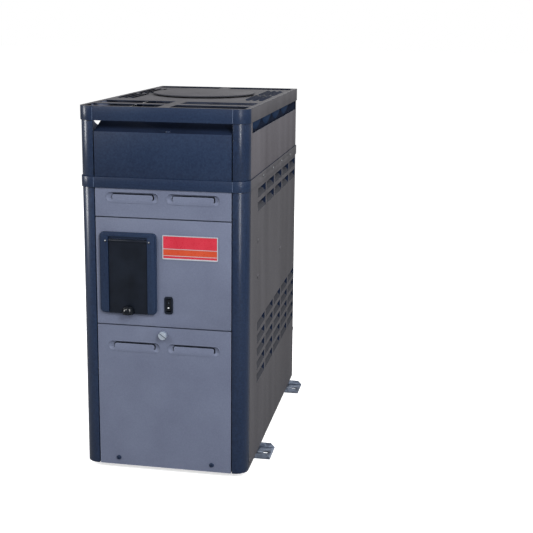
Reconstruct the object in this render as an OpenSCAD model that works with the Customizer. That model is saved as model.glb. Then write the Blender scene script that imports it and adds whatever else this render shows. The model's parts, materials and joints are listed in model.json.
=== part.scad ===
// Gas pool heater: a louvred sheet-metal jacket on two anchor rails, with a draught hood and slotted cap,
// a flip-up control cover, a pull-off access panel, a gas train and a finned-tube heat exchanger.
// Millimetres. Origin on the floor, at the centre of the four anchor slots. The front faces -Y.

/* [Jacket] */
// Width of the jacket, side to side
cab_w = 381; // [350:1:440]
// Depth of the jacket, front to back
cab_d = 680; // [650:1:760]
// Thickness of the jacket's sheet
sheet_t = 1.2; // [0.8:0.1:1.6]
// Height of the lower front panel
access_h = 335; // [325:1:370]
// Height of the middle front panel
control_h = 244.5; // [235:0.5:280]
// Height of the upper front panel that shows below the collar
upper_h = 64; // [56:1:90]
// Gap between one front panel and the next
seam = 2.75; // [1:0.25:4]
// Height of the collar round the top of the jacket
collar_h = 24; // [18:1:40]
// How far the collar and the cap stand out past the jacket
lip_out = 2.3; // [2:0.1:5]
// Depth of the folded edges of the front panels
fold_d = 12; // [10:0.5:14]
// Height of the base pan's turned-up edges
pan_edge_h = 30; // [26:1:45]

/* [Corner posts] */
// Width of a post's front face
post_w = 33.5; // [32:0.5:45]
// Radius of a post's round corner, seen from above
post_r = 28; // [20:1:30]
// Thickness of a post's sheet
post_t = 1.6; // [1.2:0.1:2]
// Width of the flange that a front panel closes on
post_lap = 14; // [8:1:20]
// Gap between a post and the panels beside it
post_gap = 2.5; // [1:0.25:4]

/* [Hood and cap] */
// Height of the hood, from collar to cap
hood_h = 124.6; // [110:0.1:160]
// Height of the cap's skirt
cap_h = 31.4; // [28:0.1:45]
// Height of the upright part of the front deflector
deflector_h = 100.5; // [80:0.5:108]
// How far the deflector's sloped part runs back
deflector_run = 95; // [70:1:130]
// How far the deflector's sloped part climbs
deflector_rise = 38; // [25:1:45]
// Height of the slot along the side of the hood
hood_slot_h = 23.5; // [15:0.5:26]
// Distance from the front face to the slot's front end
hood_slot_front = 50; // [48:1:80]
// Distance from the slot's rear end to the back
hood_slot_rear = 12; // [10:1:60]
// Pitch of the half-moon openings in a hood baffle
moon_pitch = 131; // [128:1:140]
// Radius of a half-moon opening's edge
moon_r = 90; // [60:1:95]
// Height of a half-moon opening
moon_h = 26; // [16:1:28]
// How far the rim of a half-moon opening is drawn inwards
moon_rim = 22; // [10:1:30]
// Distance from the front face to the cap's first opening
cap_front = 10; // [8:1:20]
// Width of an opening at the front of the cap, front to back
cap_slot = 64; // [40:1:72]
// Width of the rib between the two front openings
cap_rib = 28; // [15:1:40]
// Width of the opening at the back of the cap
cap_rear_slot = 58; // [40:1:70]
// Border between an opening and the side of the cap
cap_border = 10; // [7:1:20]
// Width of the bar along the cap's middle
cap_bar = 27; // [15:1:40]
// Radius of the raised disc
disc_r = 127; // [120:1:128]
// Height of the disc's top above the cap
disc_rise = 6; // [4:0.5:10]
// Distance from the front face to the disc's middle
disc_back = 389; // [370:1:400]
// Length of a slot in the cap's louvre groups
cap_louvre_l = 138; // [100:1:145]
// Pitch of the slots in a louvre group
cap_louvre_pitch = 15.6; // [12:0.1:16]
// Distance from the side of the cap to a group's outer slot
cap_louvre_inset = 13; // [10:0.5:18]
// Distance from the front face to the cap's first louvre group
cap_louvre_front = 235; // [220:1:245]
// Distance between the ends of the two louvre groups
cap_louvre_gap = 26; // [15:1:35]

/* [Louvres] */
// Length of a side louvre
louvre_l = 98; // [80:1:105]
// Height of a side louvre
louvre_h = 21.5; // [15:0.5:24]
// How far a louvre is pressed in
louvre_d = 14; // [8:0.5:18]
// Pitch of the louvre columns
louvre_pitch = 113.5; // [110:0.5:114]
// Pitch of the louvre rows
louvre_row = 31.8; // [28:0.1:34]
// Distance from the front face to the first column
louvre_front = 119.5; // [115:0.5:120]
// Least distance from the last column to the back edge
louvre_rear = 6; // [4:0.5:8]
// Rows of louvres in the lower group
lower_rows = 5; // [3:1:5]
// Rows of louvres in the upper group
upper_rows = 2; // [1:1:2]
// Height of the lower group's bottom edge above the base
lower_group_z = 176; // [150:1:190]
// Distance from the collar down to the upper group's top edge
upper_group_drop = 9; // [5:1:20]
// Length of a finger louvre on the front
dish_l = 124; // [100:1:126]
// Height of a finger louvre on the front
dish_h = 27; // [18:1:30]
// How far a finger louvre is pressed in
dish_d = 6; // [4:0.5:8]
// Distance between the middles of the two finger louvres
dish_pitch = 138; // [130:1:142]

/* [Anchor rails] */
// Length of a rail
rail_len = 448; // [440:1:520]
// Width of a rail
rail_w = 70; // [50:1:90]
// Height of a rail
rail_h = 12; // [8:1:25]
// Thickness of a rail
rail_t = 2.5; // [2:0.1:3]
// Distance between the two rails' middles
rail_pitch = 449; // [400:1:470]
// Distance from the front face to the front rail's middle
rail_setback = 153.5; // [120:0.5:180]
// Length of an anchor slot
slot_l = 14; // [11:0.5:16]
// Width of an anchor slot
slot_w = 9; // [7:0.5:10]
// Distance from a rail's end to the middle of its slot
slot_inset = 16.5; // [12:0.5:20]

/* [Controls] */
// Width of the control bezel
bezel_w = 130.6; // [125:0.1:134]
// Height of the control bezel
bezel_h = 185.5; // [180:0.5:200]
// How far the bezel stands out
bezel_d = 9; // [9:0.5:14]
// Distance of the bezel's middle to the left of the heater's middle
bezel_left = 79.3; // [76:0.1:82]
// Height of the bezel's lower edge above the middle panel's lower edge
bezel_up = 28; // [15:0.5:32]
// Width of the flip-up cover
cover_w = 88; // [84:1:100]
// Thickness of the flip-up cover
cover_t = 4; // [3:0.5:5]
// Distance from the bezel's top to the cover's hinge
hinge_drop = 19.5; // [17:0.5:25]
// Radius of a hinge pin
hinge_r = 2; // [1.5:0.1:2.2]
// Radius of the finger knob
knob_r = 14.5; // [10:0.5:17]
// Side of a keypad button
button_w = 20; // [14:1:22]
// Travel of a keypad button
button_travel = 1; // [0.5:0.1:1.5]
// Width of the rocker's frame
rocker_w = 19.3; // [18:0.1:24]
// Height of the rocker's frame
rocker_h = 40; // [39:0.5:44]
// Tilt of the rocker when it rests on one side
rocker_tilt = 9; // [5:1:11]
// Width of the badge plate
badge_w = 126; // [80:1:128]
// Height of the badge plate
badge_h = 54.5; // [30:0.5:60]
// Radius of the quarter-turn stud's head
stud_r = 9; // [7:0.5:11]
// How far the stud's head stands out
stud_out = 13; // [8:0.5:16]

/* [Fire box] */
// Distance from the front face to the bulkhead behind the control bay
bay_d = 96; // [94:1:105]
// Gap between the fire box and the jacket's sides
side_space = 38; // [37:1:45]
// Gap between the fire box and the jacket's back
rear_space = 40; // [25:1:55]
// Height of the burner tray
tray_h = 96; // [92:1:110]
// Height of the combustion chamber
chamber_h = 270; // [240:1:275]
// Thickness of the refractory boards
board_t = 25; // [15:1:30]
// Number of burners
burner_n = 6; // [4:1:6]
// Pitch of the burners
burner_pitch = 44; // [41:1:44]
// Radius of a burner tube
burner_r = 13; // [10:0.5:14]
// Radius of the gas pipes
pipe_r = 13.35; // [10:0.05:14]
// How far the gas pipe stands out of the jacket
pipe_out = 10; // [8:1:12]

/* [Heat exchanger] */
// Number of finned tubes
tube_n = 9; // [5:1:9]
// Pitch of the tubes
tube_pitch = 50; // [47:1:51]
// Outer radius of a tube
tube_r = 11; // [9:0.5:12]
// Wall of a tube
tube_wall = 1.5; // [1:0.1:2]
// Radius of a fin
fin_r = 22; // [16:0.5:23]
// Pitch of the fins
fin_pitch = 13; // [8:0.5:20]
// Height of the tube sheets
sheet_h = 90; // [82:1:100]
// Thickness of a tube sheet
plate_t = 10; // [6:0.5:14]
// Thickness of a header gasket
gasket_t = 2; // [1:0.5:3]
// Depth of a header
header_d = 26; // [22:0.5:28]
// Wall of a header
header_wall = 5; // [3:0.5:6]
// Distance between the two water ports
port_pitch = 210; // [200:1:240]
// Radius of the water pipe's socket
socket_r = 30.25; // [20:0.05:31]
// Length of the water pipe's socket
socket_l = 42; // [30:1:50]
// Wall of a union tailpiece
tail_wall = 6; // [4:0.5:8]
// How far a water port stands out of the jacket
port_out = 24; // [22:1:40]
// Radius of the flue outlet
flue_r = 105; // [90:1:115]

/* [Clearances] */
// Gap at a fixed fit
fit_gap = 0.1; // [0.05:0.01:0.2]
// Radial gap at a hinge pin
pin_gap = 0.05; // [0.02:0.01:0.1]
// Gap beside a piece that moves
move_gap = 0.4; // [0.3:0.1:0.8]

/* [Hidden] */
$fn = 48;
over = 1;

// Colours of the paints and metals
navy = "#2d3a50";
panel_grey = "#70758a";
galvanised = "#9aa0a8";
steel = "#8b8d90";
near_black = "#1e242e";
copper = "#b5714a";
brass = "#b99a55";
bronze = "#94754a";
board_white = "#d8d3c6";
circuit_green = "#2f5a41";

// Levels, from the floor up
half_w = cab_w / 2;
front_y = -rail_pitch / 2 - rail_setback;
back_y = front_y + cab_d;
base_z = rail_h;
access_top = base_z + access_h;
control_z = access_top + seam;
control_top = control_z + control_h;
upper_z = control_top + seam;
collar_z = upper_z + upper_h;
hood_z = collar_z + collar_h;
jacket_top_z = hood_z - sheet_t;
cap_z = hood_z + hood_h;
cap_top = cap_z + cap_h;
hood_top_z = cap_top - sheet_t;
bend_z = hood_z + deflector_h;

// Places seen from above
post_x = half_w - post_w;
post_leg = 2;
post_side = post_r + post_leg;
panel_x = post_x - post_gap;
flange_y = front_y + fold_d;
frame_y = flange_y + post_t;
side_front_y = front_y + post_side + post_gap;
inner_x = half_w - sheet_t;
frame_x = inner_x - post_t;
side_flange = 18;
rear_fold = 6;
// The base pan's front corners are cut back to clear the inside of the posts' round
pan_corner_x = half_w - post_r + sqrt(pow(post_r - post_t, 2) - pow(post_r - fold_d - post_t, 2)) - fit_gap;

// Fire box and heat exchanger
bulk_y = front_y + bay_d;
box_y = bulk_y + sheet_t;
box_end = back_y - rear_space;
box_mid = (box_y + box_end) / 2;
box_x = half_w - side_space;
tray_z = base_z + sheet_t;
tray_top = tray_z + tray_h;
chamber_top = tray_top + chamber_h;
tube_z = chamber_top + sheet_h / 2;
exchanger_top = chamber_top + sheet_h;
tube_row = (tube_n - 1) * tube_pitch;
row_end = 30;
row_half = tube_row / 2 + row_end;
gasket_x = box_x + gasket_t;
header_x = gasket_x + header_d;
header_h = sheet_h - 10;
port_r = socket_r + tail_wall;
thread_r = port_r + 8;
port_x = half_w + port_out;
port_hole_r = thread_r + 3;
socket_stop = 4;
tail_flange = 6;
nut_grip = 16;
nut_lip = 5;
nut_r = thread_r + move_gap + 9;
burner_z = tray_z + 60;
burner_x0 = -(burner_n - 1) * burner_pitch / 2;
bay_window_x = -burner_x0 + burner_r + 8;
burner_short = 50;
rest_back = 10;
mouth_out = 18;
flare_l = 8;
disc_y = front_y + disc_back;

// Gas train in the control bay
pipe_y = front_y + 66;
manifold_y = front_y + 52;
spud_gap = 4;
valve_x = -40;
valve_w = 90;
valve_d = 50;
valve_h = 60;
valve_z = burner_z + 58;
valve_top = valve_z + valve_h;
inlet_z = valve_z + valve_h / 2;
gas_knob_r = 16;
gas_knob_h = 18;

// Finger louvres: how far their middles lie below the lower panel's top and the collar
access_dish_drop = 48;
upper_dish_drop = 20;

// Controls
bezel_x = -bezel_left;
bezel_z = control_z + bezel_up;
bezel_top = bezel_z + bezel_h;
bezel_round = 10;
bezel_step = 3;
window_gap = 1;
window_x = cover_w / 2 + window_gap;
hinge_z = bezel_top - hinge_drop;
hinge_y = front_y - 5;
knuckle_r = hinge_r + 1.5;
window_top = hinge_z + knuckle_r + window_gap;
hinge_recess = [6, 5];
pin_in = 11;
cover_back_y = hinge_y + cover_t / 2;
cover_front_y = hinge_y - cover_t / 2;
keypad_face_y = front_y - 1;
keypad_w = 2 * window_x - 10;
keypad_z = bezel_z + 10;
keypad_top = hinge_z - 14;
keypad_back_y = front_y + 20;
keypad_flange = 5;
button_gap_x = 34;
button_gap_z = 30;
button_up = 48;
button_z = keypad_z + button_up;
button_back = 8;
button_proud = 0.8;
lens_w = 64;
lens_h = 34;
lens_z = keypad_top - 32;
lens_t = 3;
rocker_x = 12.3;
rocker_up = 22.6;
rocker_z = bezel_z + rocker_up;
rocker_frame_t = 2;
rocker_round = 5;
rocker_wall = 2;
rocker_body_w = rocker_w - 4;
rocker_body_h = rocker_h - 5;
rocker_body_d = 22;
rocker_pivot_y = front_y + 3;
rocker_pin_r = 1.5;
paddle_w = rocker_body_w - 2 * rocker_wall - 2 * move_gap;
paddle_half = rocker_body_h / 2 - rocker_wall - 3;
badge_x = 62;
badge_t = 1.5;
badge_drop = 34;
badge_z = control_top - badge_drop - badge_h;

// Ignition module on the bulkhead
module_size = [100, 28, 76];
module_z = control_z + 30;

// Transformer above the module
transformer_x = 95;
core_w = 48;
core_d = 44;
core_h = 40;
core_foot_w = 70;
core_foot_h = 18;
core_foot_t = 2;
coil_out = 8;
coil_d = 36;
transformer_gap = 6;
transformer_z = module_z + module_size[2] + transformer_gap + coil_out + core_h / 2;

// Side louvre columns that the depth has room for
louvre_cols = floor((cab_d - louvre_front - louvre_l - louvre_rear) / louvre_pitch) + 1;

// Slots at a rail's two ends
slot_pitch = rail_len - 2 * slot_inset;

// Quarter-turn stud
stud_drop = 15;
stud_z = access_top - stud_drop;
stud_shank_r = 4;
stud_pin_r = 1.5;
stud_pin_half = 7;
stud_collar = 3;
receptacle_t = 1.5;
receptacle_half = 20;
stud_pin_y = frame_y + sheet_t + receptacle_t + stud_pin_r + move_gap;

// Screws: radius and height of the heads, and the screws on each side as distance back and height
screw_head_r = 5.5;
screw_head_h = 3;
screw_dome = 1.5;
screw_r = 2.1;
screw_in = 8;
rivet_r = 4;
rivet_h = 1.6;
access_screw_x = 110;
access_screw_z = base_z + 17;
collar_rivets = [178, 308, 434, 564];
deflector_screw_x = 12;
deflector_screw_back = 7;

// Relief valve on the header, between the ports
relief_r = 17;
relief_stem_r = 12;
relief_x = half_w + 12;
relief_l = 52;
relief_end = relief_x + relief_l;
relief_cap = 12;
relief_ear = 3;
relief_fork = 8;
relief_pin_r = 2;
relief_hub_r = relief_pin_r + 2;
relief_pivot_x = -(relief_end + relief_cap + relief_hub_r + move_gap);
relief_pivot_z = tube_z + 8;
lever_l = 38;
lever_t = 2.5;
drain_r = 12.7;
drain_l = 14;

function back(d) = front_y + d;

// A box between two corners
module slab(lo, hi) {
    translate(lo) cube(hi - lo);
}

// A rectangle between two corners
module rect(lo, hi) {
    translate(lo) square(hi - lo);
}

// A plate drawn in (y, z), from x inwards to x + t
module side_plate(x, t) {
    translate([x, 0, 0]) rotate([90, 0, 90]) linear_extrude(t) children();
}

// A plate drawn in (x, z), from y back to y + t
module front_plate(y, t) {
    translate([0, y + t, 0]) rotate([90, 0, 0]) linear_extrude(t) children();
}

// A plate drawn in (x, y), from z up to z + t
module plan_plate(z, t) {
    translate([0, 0, z]) linear_extrude(t) children();
}

// A rod along X, Y or Z, from its start
module rod_x(at, r, l) {
    translate(at) rotate([0, 90, 0]) cylinder(r = r, h = l);
}

module rod_y(at, r, l) {
    translate(at) rotate([-90, 0, 0]) cylinder(r = r, h = l);
}

module rod_z(at, r, l) {
    translate(at) cylinder(r = r, h = l);
}

module both_sides() {
    children();
    mirror([1, 0, 0]) children();
}

// A slot with round ends, drawn flat about its middle
module stadium(l, h) {
    square([l - h, h], center = true);
    for (side = [-1, 1]) translate([side * (l - h) / 2, 0]) circle(d = h);
}

// A rectangle with round corners, drawn flat about its middle
module round_rect(w, h, r) {
    square([w - 2 * r, h], center = true);
    square([w, h - 2 * r], center = true);
    for (sx = [-1, 1], sy = [-1, 1]) translate([sx * (w / 2 - r), sy * (h / 2 - r)]) circle(r);
}

// The jacket seen from above, with round front corners, grown outwards
module footprint(grow) {
    w = half_w + grow;
    front = front_y - grow;
    r = post_r + grow;
    rect([-w, front + r], [w, back_y]);
    rect([-(half_w - post_r), front], [half_w - post_r, front + r]);
    rect([-half_w, back_y - over], [half_w, back_y + grow]);
    for (side = [-1, 1]) {
        translate([side * (half_w - post_r), front + r]) circle(r);
        translate([side * half_w, back_y]) circle(grow);
    }
}

// A skirt round the jacket with a sheet on top, open below
module lidded_skirt(z, h) {
    difference() {
        plan_plate(z, h) footprint(lip_out);
        plan_plate(z - over, h + over - sheet_t) footprint(lip_out - sheet_t);
    }
}

// Fine grooves in a front skirt, where its corner pieces meet the straight strip
module skirt_grooves(z, h) {
    groove = 0.6;
    both_sides() slab([post_x - groove, front_y - lip_out - over, z - over],
                      [post_x + groove, front_y - lip_out + groove, z + h + over]);
}

// A front corner post seen from above, on the right: the round, its legs and the side panel's flange
module post_round() {
    centre = [half_w - post_r, front_y + post_r];
    intersection() {
        difference() {
            translate(centre) circle(post_r);
            translate(centre) circle(post_r - post_t);
        }
        rect([centre[0], front_y - over], [half_w + over, centre[1]]);
    }
    rect([post_x, front_y], [centre[0], front_y + post_t]);
    rect([half_w - post_t, centre[1]], [half_w, front_y + post_side]);
    rect([frame_x, front_y + post_side - post_t], [half_w - post_t + 0.4, front_y + post_side]);
    rect([frame_x, front_y + post_side - post_t], [inner_x, front_y + post_side + side_flange]);
}

module post_flange() {
    rect([post_x, front_y], [post_x + post_t, frame_y]);
    rect([post_x - post_lap, flange_y], [post_x + post_t, frame_y]);
}

module anchor_rails() {
    color(galvanised)
    for (y = [-rail_pitch / 2, rail_pitch / 2]) difference() {
        slab([-rail_len / 2, y - rail_w / 2, 0], [rail_len / 2, y + rail_w / 2, rail_h]);
        slab([-rail_len / 2 - over, y - rail_w / 2 + rail_t, rail_t],
             [rail_len / 2 + over, y + rail_w / 2 - rail_t, rail_h + over]);
        both_sides() translate([rail_len / 2 - rail_h + rail_t, y, rail_t])
            rotate([90, 0, 0]) linear_extrude(rail_w + over, center = true)
            polygon([[rail_h - rail_t + over, 0], [rail_h - rail_t, 0], [0, rail_h - rail_t],
                     [0, rail_h], [rail_h - rail_t + over, rail_h]]);
        for (side = [-1, 1]) translate([side * slot_pitch / 2, y, -over])
            linear_extrude(rail_t + 2 * over) stadium(slot_l, slot_w);
    }
}

module base_pan() {
    color(steel)
    difference() {
        slab([-frame_x, frame_y, base_z], [frame_x, back_y - sheet_t, base_z + pan_edge_h]);
        slab([-frame_x + sheet_t, frame_y + sheet_t, tray_z],
             [frame_x - sheet_t, back_y - 2 * sheet_t, base_z + pan_edge_h + over]);
        both_sides() {
            rod_y([access_screw_x, frame_y - over, access_screw_z], screw_r + fit_gap, 2 * over + sheet_t);
            slab([pan_corner_x, frame_y - over, base_z - over],
                 [frame_x + over, front_y + post_side, base_z + pan_edge_h + over]);
            side_screw_holes(side_screws());
        }
    }
}

// One louvre of the right side: a flap pressed inwards with closed ends, open along the top
module side_louvre(y, z) {
    flap = 2;
    lap = sheet_t / 2;
    rise = louvre_h * 0.7;
    length = louvre_l + 2 * lap;
    translate([0, y + louvre_l + lap, z]) rotate([90, 0, 0]) {
        linear_extrude(length)
            polygon([
                [half_w, 0], [half_w, -lap], [half_w - flap, -lap],
                [half_w - flap - louvre_d, rise], [half_w - louvre_d, rise]
            ]);
        for (end = [0, length - sheet_t]) translate([0, 0, end]) linear_extrude(sheet_t)
            polygon([
                [half_w, -lap], [half_w - flap, -lap], [half_w - flap - louvre_d, rise],
                [inner_x, louvre_h + lap], [half_w, louvre_h + lap]
            ]);
    }
}

function louvre_places() = [
    for (c = [0:louvre_cols - 1]) let (y = back(louvre_front + c * louvre_pitch)) each concat(
        [for (r = [0:lower_rows - 1]) [y, base_z + lower_group_z + r * louvre_row]],
        [for (r = [0:upper_rows - 1]) [y, collar_z - upper_group_drop - louvre_h - r * louvre_row]]
    )
];

// The screws in a side panel, as distance back from the front and height
function side_screws() = [
    [118, control_top - 61], [124, tube_z + 22], [cab_d - 34, tube_z + 22],
    [cab_d - 12, base_z + lower_group_z - 31], [38, base_z + 19]
];

// A sixth screw on the right, where the left has a water port
function right_screws() = concat(side_screws(), [[431, tube_z + 22]]);

// The screws' holes on the right, through the panel and what is behind it
module side_screw_holes(screws) {
    for (s = screws)
        rod_x([half_w - screw_in, back(s[0]), s[1]], screw_r + fit_gap, screw_in + over);
}

// A jacket side, drawn on the right, with its louvres and holes for its screws
module side_panel(screws) {
    difference() {
        side_plate(inner_x, sheet_t) difference() {
            rect([side_front_y, base_z], [back_y, jacket_top_z]);
            for (p = louvre_places()) translate(p) square([louvre_l, louvre_h]);
            children();
        }
        side_screw_holes(screws);
    }
    for (p = louvre_places()) side_louvre(p[0], p[1]);
}

module right_side_panel() {
    color(navy) side_panel(right_screws());
}

module left_side_panel() {
    color(navy)
    mirror([1, 0, 0]) side_panel(side_screws()) {
        for (side = [-1, 1]) translate([box_mid + side * port_pitch / 2, tube_z]) circle(port_hole_r);
        translate([box_mid, tube_z]) circle(relief_stem_r + 3);
        translate([pipe_y, inlet_z]) circle(pipe_r + 2);
    }
}

module rear_panel() {
    vent_l = 110;
    vent_x = 75;
    color(navy) {
        front_plate(back_y - sheet_t, sheet_t) difference() {
            rect([-inner_x, base_z], [inner_x, jacket_top_z]);
            for (x = [-vent_x, vent_x], r = [0:1])
                translate([x, collar_z - upper_group_drop - louvre_h / 2 - r * louvre_row])
                square([vent_l, louvre_h], center = true);
        }
        both_sides() slab([inner_x - sheet_t, back_y - rear_fold, base_z + pan_edge_h],
                          [inner_x, back_y, jacket_top_z]);
        for (x = [-vent_x, vent_x], r = [0:1])
            translate([x - vent_l / 2, back_y, collar_z - upper_group_drop - louvre_h - r * louvre_row])
            rotate([90, 0, 90]) linear_extrude(vent_l)
            polygon([[0, 0], [-2, 0], [-2 - louvre_d, louvre_h * 0.7], [-louvre_d, louvre_h * 0.7]]);
    }
}

module corner_posts() {
    color(navy)
    both_sides() difference() {
        plan_plate(base_z, jacket_top_z - base_z) {
            post_round();
            post_flange();
        }
        side_screw_holes(side_screws());
    }
}

// Two channels that tie the posts together behind the seams of the front panels
module cross_rails() {
    channel_d = 15;
    color(steel)
    for (span = [[access_top - 30, control_z + 20], [control_top - 14, upper_z + 14]]) difference() {
        slab([-post_x, frame_y, span[0]], [post_x, frame_y + channel_d, span[1]]);
        slab([-post_x - over, frame_y + sheet_t, span[0] + sheet_t],
             [post_x + over, frame_y + channel_d + over, span[1] - sheet_t]);
        rod_y([0, frame_y - over, stud_z], stud_pin_half + 1, sheet_t + 2 * over);
    }
}

module bay_bulkhead() {
    color(steel)
    front_plate(bulk_y, sheet_t) difference() {
        rect([-frame_x + sheet_t, tray_z], [frame_x - sheet_t, jacket_top_z]);
        rect([-bay_window_x, burner_z - 35], [bay_window_x, burner_z + 30]);
    }
}

// A front panel between the posts: a skin with four folded edges
module front_tray(z0, z1) {
    difference() {
        slab([-panel_x, front_y, z0], [panel_x, flange_y, z1]);
        slab([-panel_x + sheet_t, front_y + sheet_t, z0 + sheet_t],
             [panel_x - sheet_t, flange_y + over, z1 - sheet_t]);
        children();
    }
}

// Two finger louvres: round-ended dishes with an opening along the upper edge
module finger_dishes(z) {
    slit = 4;
    slit_half = (dish_l - dish_h) / 2;
    for (side = [-1, 1]) difference() {
        front_plate(front_y, dish_d) translate([side * dish_pitch / 2, z]) stadium(dish_l, dish_h);
        front_plate(front_y - over, dish_d + over - sheet_t) translate([side * dish_pitch / 2, z])
            stadium(dish_l - 2 * sheet_t, dish_h - 2 * sheet_t);
        translate([side * dish_pitch / 2, 0, z + dish_h / 2 - sheet_t - slit])
            slab([-slit_half, front_y - over, 0], [slit_half, front_y + dish_d + over, slit]);
    }
}

module dish_holes(z) {
    for (side = [-1, 1]) front_plate(front_y - over, sheet_t + 2 * over)
        translate([side * dish_pitch / 2, z]) stadium(dish_l, dish_h);
}

module access_panel() {
    dish_z = access_top - access_dish_drop;
    through = sheet_t + 2 * over;
    color(panel_grey) {
        front_tray(base_z, access_top) {
            dish_holes(dish_z);
            rod_y([0, front_y - over, stud_z], stud_shank_r + move_gap, through);
            both_sides() rod_y([access_screw_x, front_y - over, access_screw_z], screw_r + fit_gap, through);
        }
        finger_dishes(dish_z);
    }
}

module control_panel() {
    color(panel_grey)
    front_tray(control_z, control_top) {
        slab([bezel_x - keypad_w / 2 - fit_gap, front_y - over, keypad_z - fit_gap],
             [bezel_x + keypad_w / 2 + fit_gap, front_y + sheet_t + over, keypad_top + fit_gap]);
        translate([rocker_x, front_y, rocker_z])
            cube([rocker_body_w + 2 * fit_gap, 4 * sheet_t, rocker_body_h + 2 * fit_gap], center = true);
    }
}

module upper_front_panel() {
    dish_z = collar_z - upper_dish_drop;
    color(panel_grey) {
        front_tray(upper_z, jacket_top_z) dish_holes(dish_z);
        finger_dishes(dish_z);
    }
}

module jacket_top() {
    color(navy)
    difference() {
        lidded_skirt(collar_z, collar_h);
        rod_z([0, disc_y, collar_z], flue_r + 2, collar_h + over);
        skirt_grooves(collar_z, collar_h);
        for (side = [-1, 1], d = collar_rivets) rod_x([side * half_w - 4, back(d), collar_z + collar_h / 2],
                                                      screw_r + fit_gap, 8);
    }
}

module hood_posts() {
    color(navy)
    both_sides() plan_plate(hood_z, hood_top_z - hood_z) post_round();
}

module hood_side_panels() {
    color(navy)
    both_sides() side_plate(inner_x, sheet_t) difference() {
        rect([side_front_y, hood_z], [back_y - sheet_t, hood_top_z]);
        rect([back(hood_slot_front), cap_z - over - hood_slot_h], [back_y - hood_slot_rear, cap_z - over]);
    }
}

module rear_hood_panel() {
    color(navy)
    front_plate(back_y - sheet_t, sheet_t) rect([-half_w, hood_z], [half_w, hood_top_z]);
}

// The place of the deflector's screw: just behind the bend, square to the slope
module at_deflector_screw() {
    climb = deflector_screw_back * deflector_rise / deflector_run;
    translate([deflector_screw_x, back(deflector_screw_back), bend_z + climb])
        rotate([-90 + atan(deflector_rise / deflector_run), 0, 0])
        children();
}

module front_deflector() {
    wall = 1.5 * sheet_t;
    color(navy)
    difference() {
        translate([-panel_x, 0, 0]) rotate([90, 0, 90]) linear_extrude(2 * panel_x) polygon([
            [front_y, hood_z], [front_y, bend_z],
            [back(deflector_run), bend_z + deflector_rise],
            [back(deflector_run), bend_z + deflector_rise - 2 * sheet_t],
            [front_y + wall, bend_z - sheet_t],
            [front_y + wall, hood_z + sheet_t],
            [flange_y, hood_z + sheet_t], [flange_y, hood_z]
        ]);
        at_deflector_screw() rod_y([0, -over, 0], screw_r + fit_gap, 4 * sheet_t);
    }
}

// A half-moon with its lowest point on the opening's edge, seen from the side
module half_moon(r) {
    intersection() {
        translate([0, moon_r]) circle(r);
        rect([-moon_pitch / 2, -sheet_t], [moon_pitch / 2, moon_h]);
    }
}

// A plate behind each side slot, with a row of half-moon openings whose rims are drawn inwards
module hood_baffles() {
    moon_n = 4;
    first = 130;
    baffle_x = inner_x - 8;
    bottom = cap_z - over - hood_slot_h + 1;
    end = first + (moon_n - 1) * moon_pitch + moon_pitch / 2;
    color(navy)
    both_sides() {
        side_plate(baffle_x, sheet_t) difference() {
            rect([back(first - moon_pitch / 2), hood_z], [back(end), hood_top_z]);
            for (i = [0:moon_n - 1]) translate([back(first + i * moon_pitch), bottom]) half_moon(moon_r);
        }
        side_plate(baffle_x - moon_rim, moon_rim + sheet_t / 2)
            for (i = [0:moon_n - 1]) translate([back(first + i * moon_pitch), bottom]) difference() {
                half_moon(moon_r + sheet_t);
                half_moon(moon_r);
            }
    }
}

// The cap's openings on the right, seen from above
module cap_openings() {
    x0 = cap_bar / 2;
    x1 = half_w - cap_border;
    rear1 = back_y - cap_border;
    for (d = [cap_front, cap_front + cap_slot + cap_rib]) rect([x0, back(d)], [x1, back(d + cap_slot)]);
    rect([x0, rear1 - cap_rear_slot], [x1, rear1]);
}

// Rows of the cap's small louvres on the right, as the outer edge and front end of each
function cap_louvre_rows() = [
    for (group = [0, 1], i = [0:2])
        [half_w - cap_louvre_inset - i * cap_louvre_pitch,
         back(cap_louvre_front + group * (cap_louvre_l + cap_louvre_gap))]
];

module top_cap() {
    slit = 6;
    hood = 9;
    rise = 3.5;
    wall = 1.2;
    color(navy) {
        difference() {
            lidded_skirt(cap_z, cap_h);
            skirt_grooves(cap_z, cap_h);
            both_sides() translate([0, 0, hood_top_z - over]) linear_extrude(sheet_t + 2 * over) {
                cap_openings();
                for (p = cap_louvre_rows()) translate([p[0] - hood, p[1]]) square([slit, cap_louvre_l]);
            }
        }
        both_sides() for (p = cap_louvre_rows())
            translate([p[0], p[1] + cap_louvre_l, cap_top]) rotate([90, 0, 0]) linear_extrude(cap_louvre_l)
            polygon([[0, -wall / 2], [0, 0], [-hood, rise], [-hood, rise - wall], [-wall * 2, -wall / 2]]);
    }
}

module flue_cover_disc() {
    foot_r = 8;
    rim = 3;
    color(navy) {
        difference() {
            rod_z([0, disc_y, cap_top + disc_rise - rim], disc_r, rim);
            rod_z([0, disc_y, cap_top + disc_rise - rim - over], disc_r - sheet_t, rim + over - sheet_t);
        }
        for (a = [45:90:315]) translate([0, disc_y, cap_top]) rotate(a)
            rod_z([disc_r * 0.8, 0, 0], foot_r, disc_rise - sheet_t / 2);
    }
}

module badge_plate() {
    color(galvanised)
    front_plate(front_y - badge_t, badge_t) translate([badge_x, badge_z + badge_h / 2])
        round_rect(badge_w, badge_h, 2);
}

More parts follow.
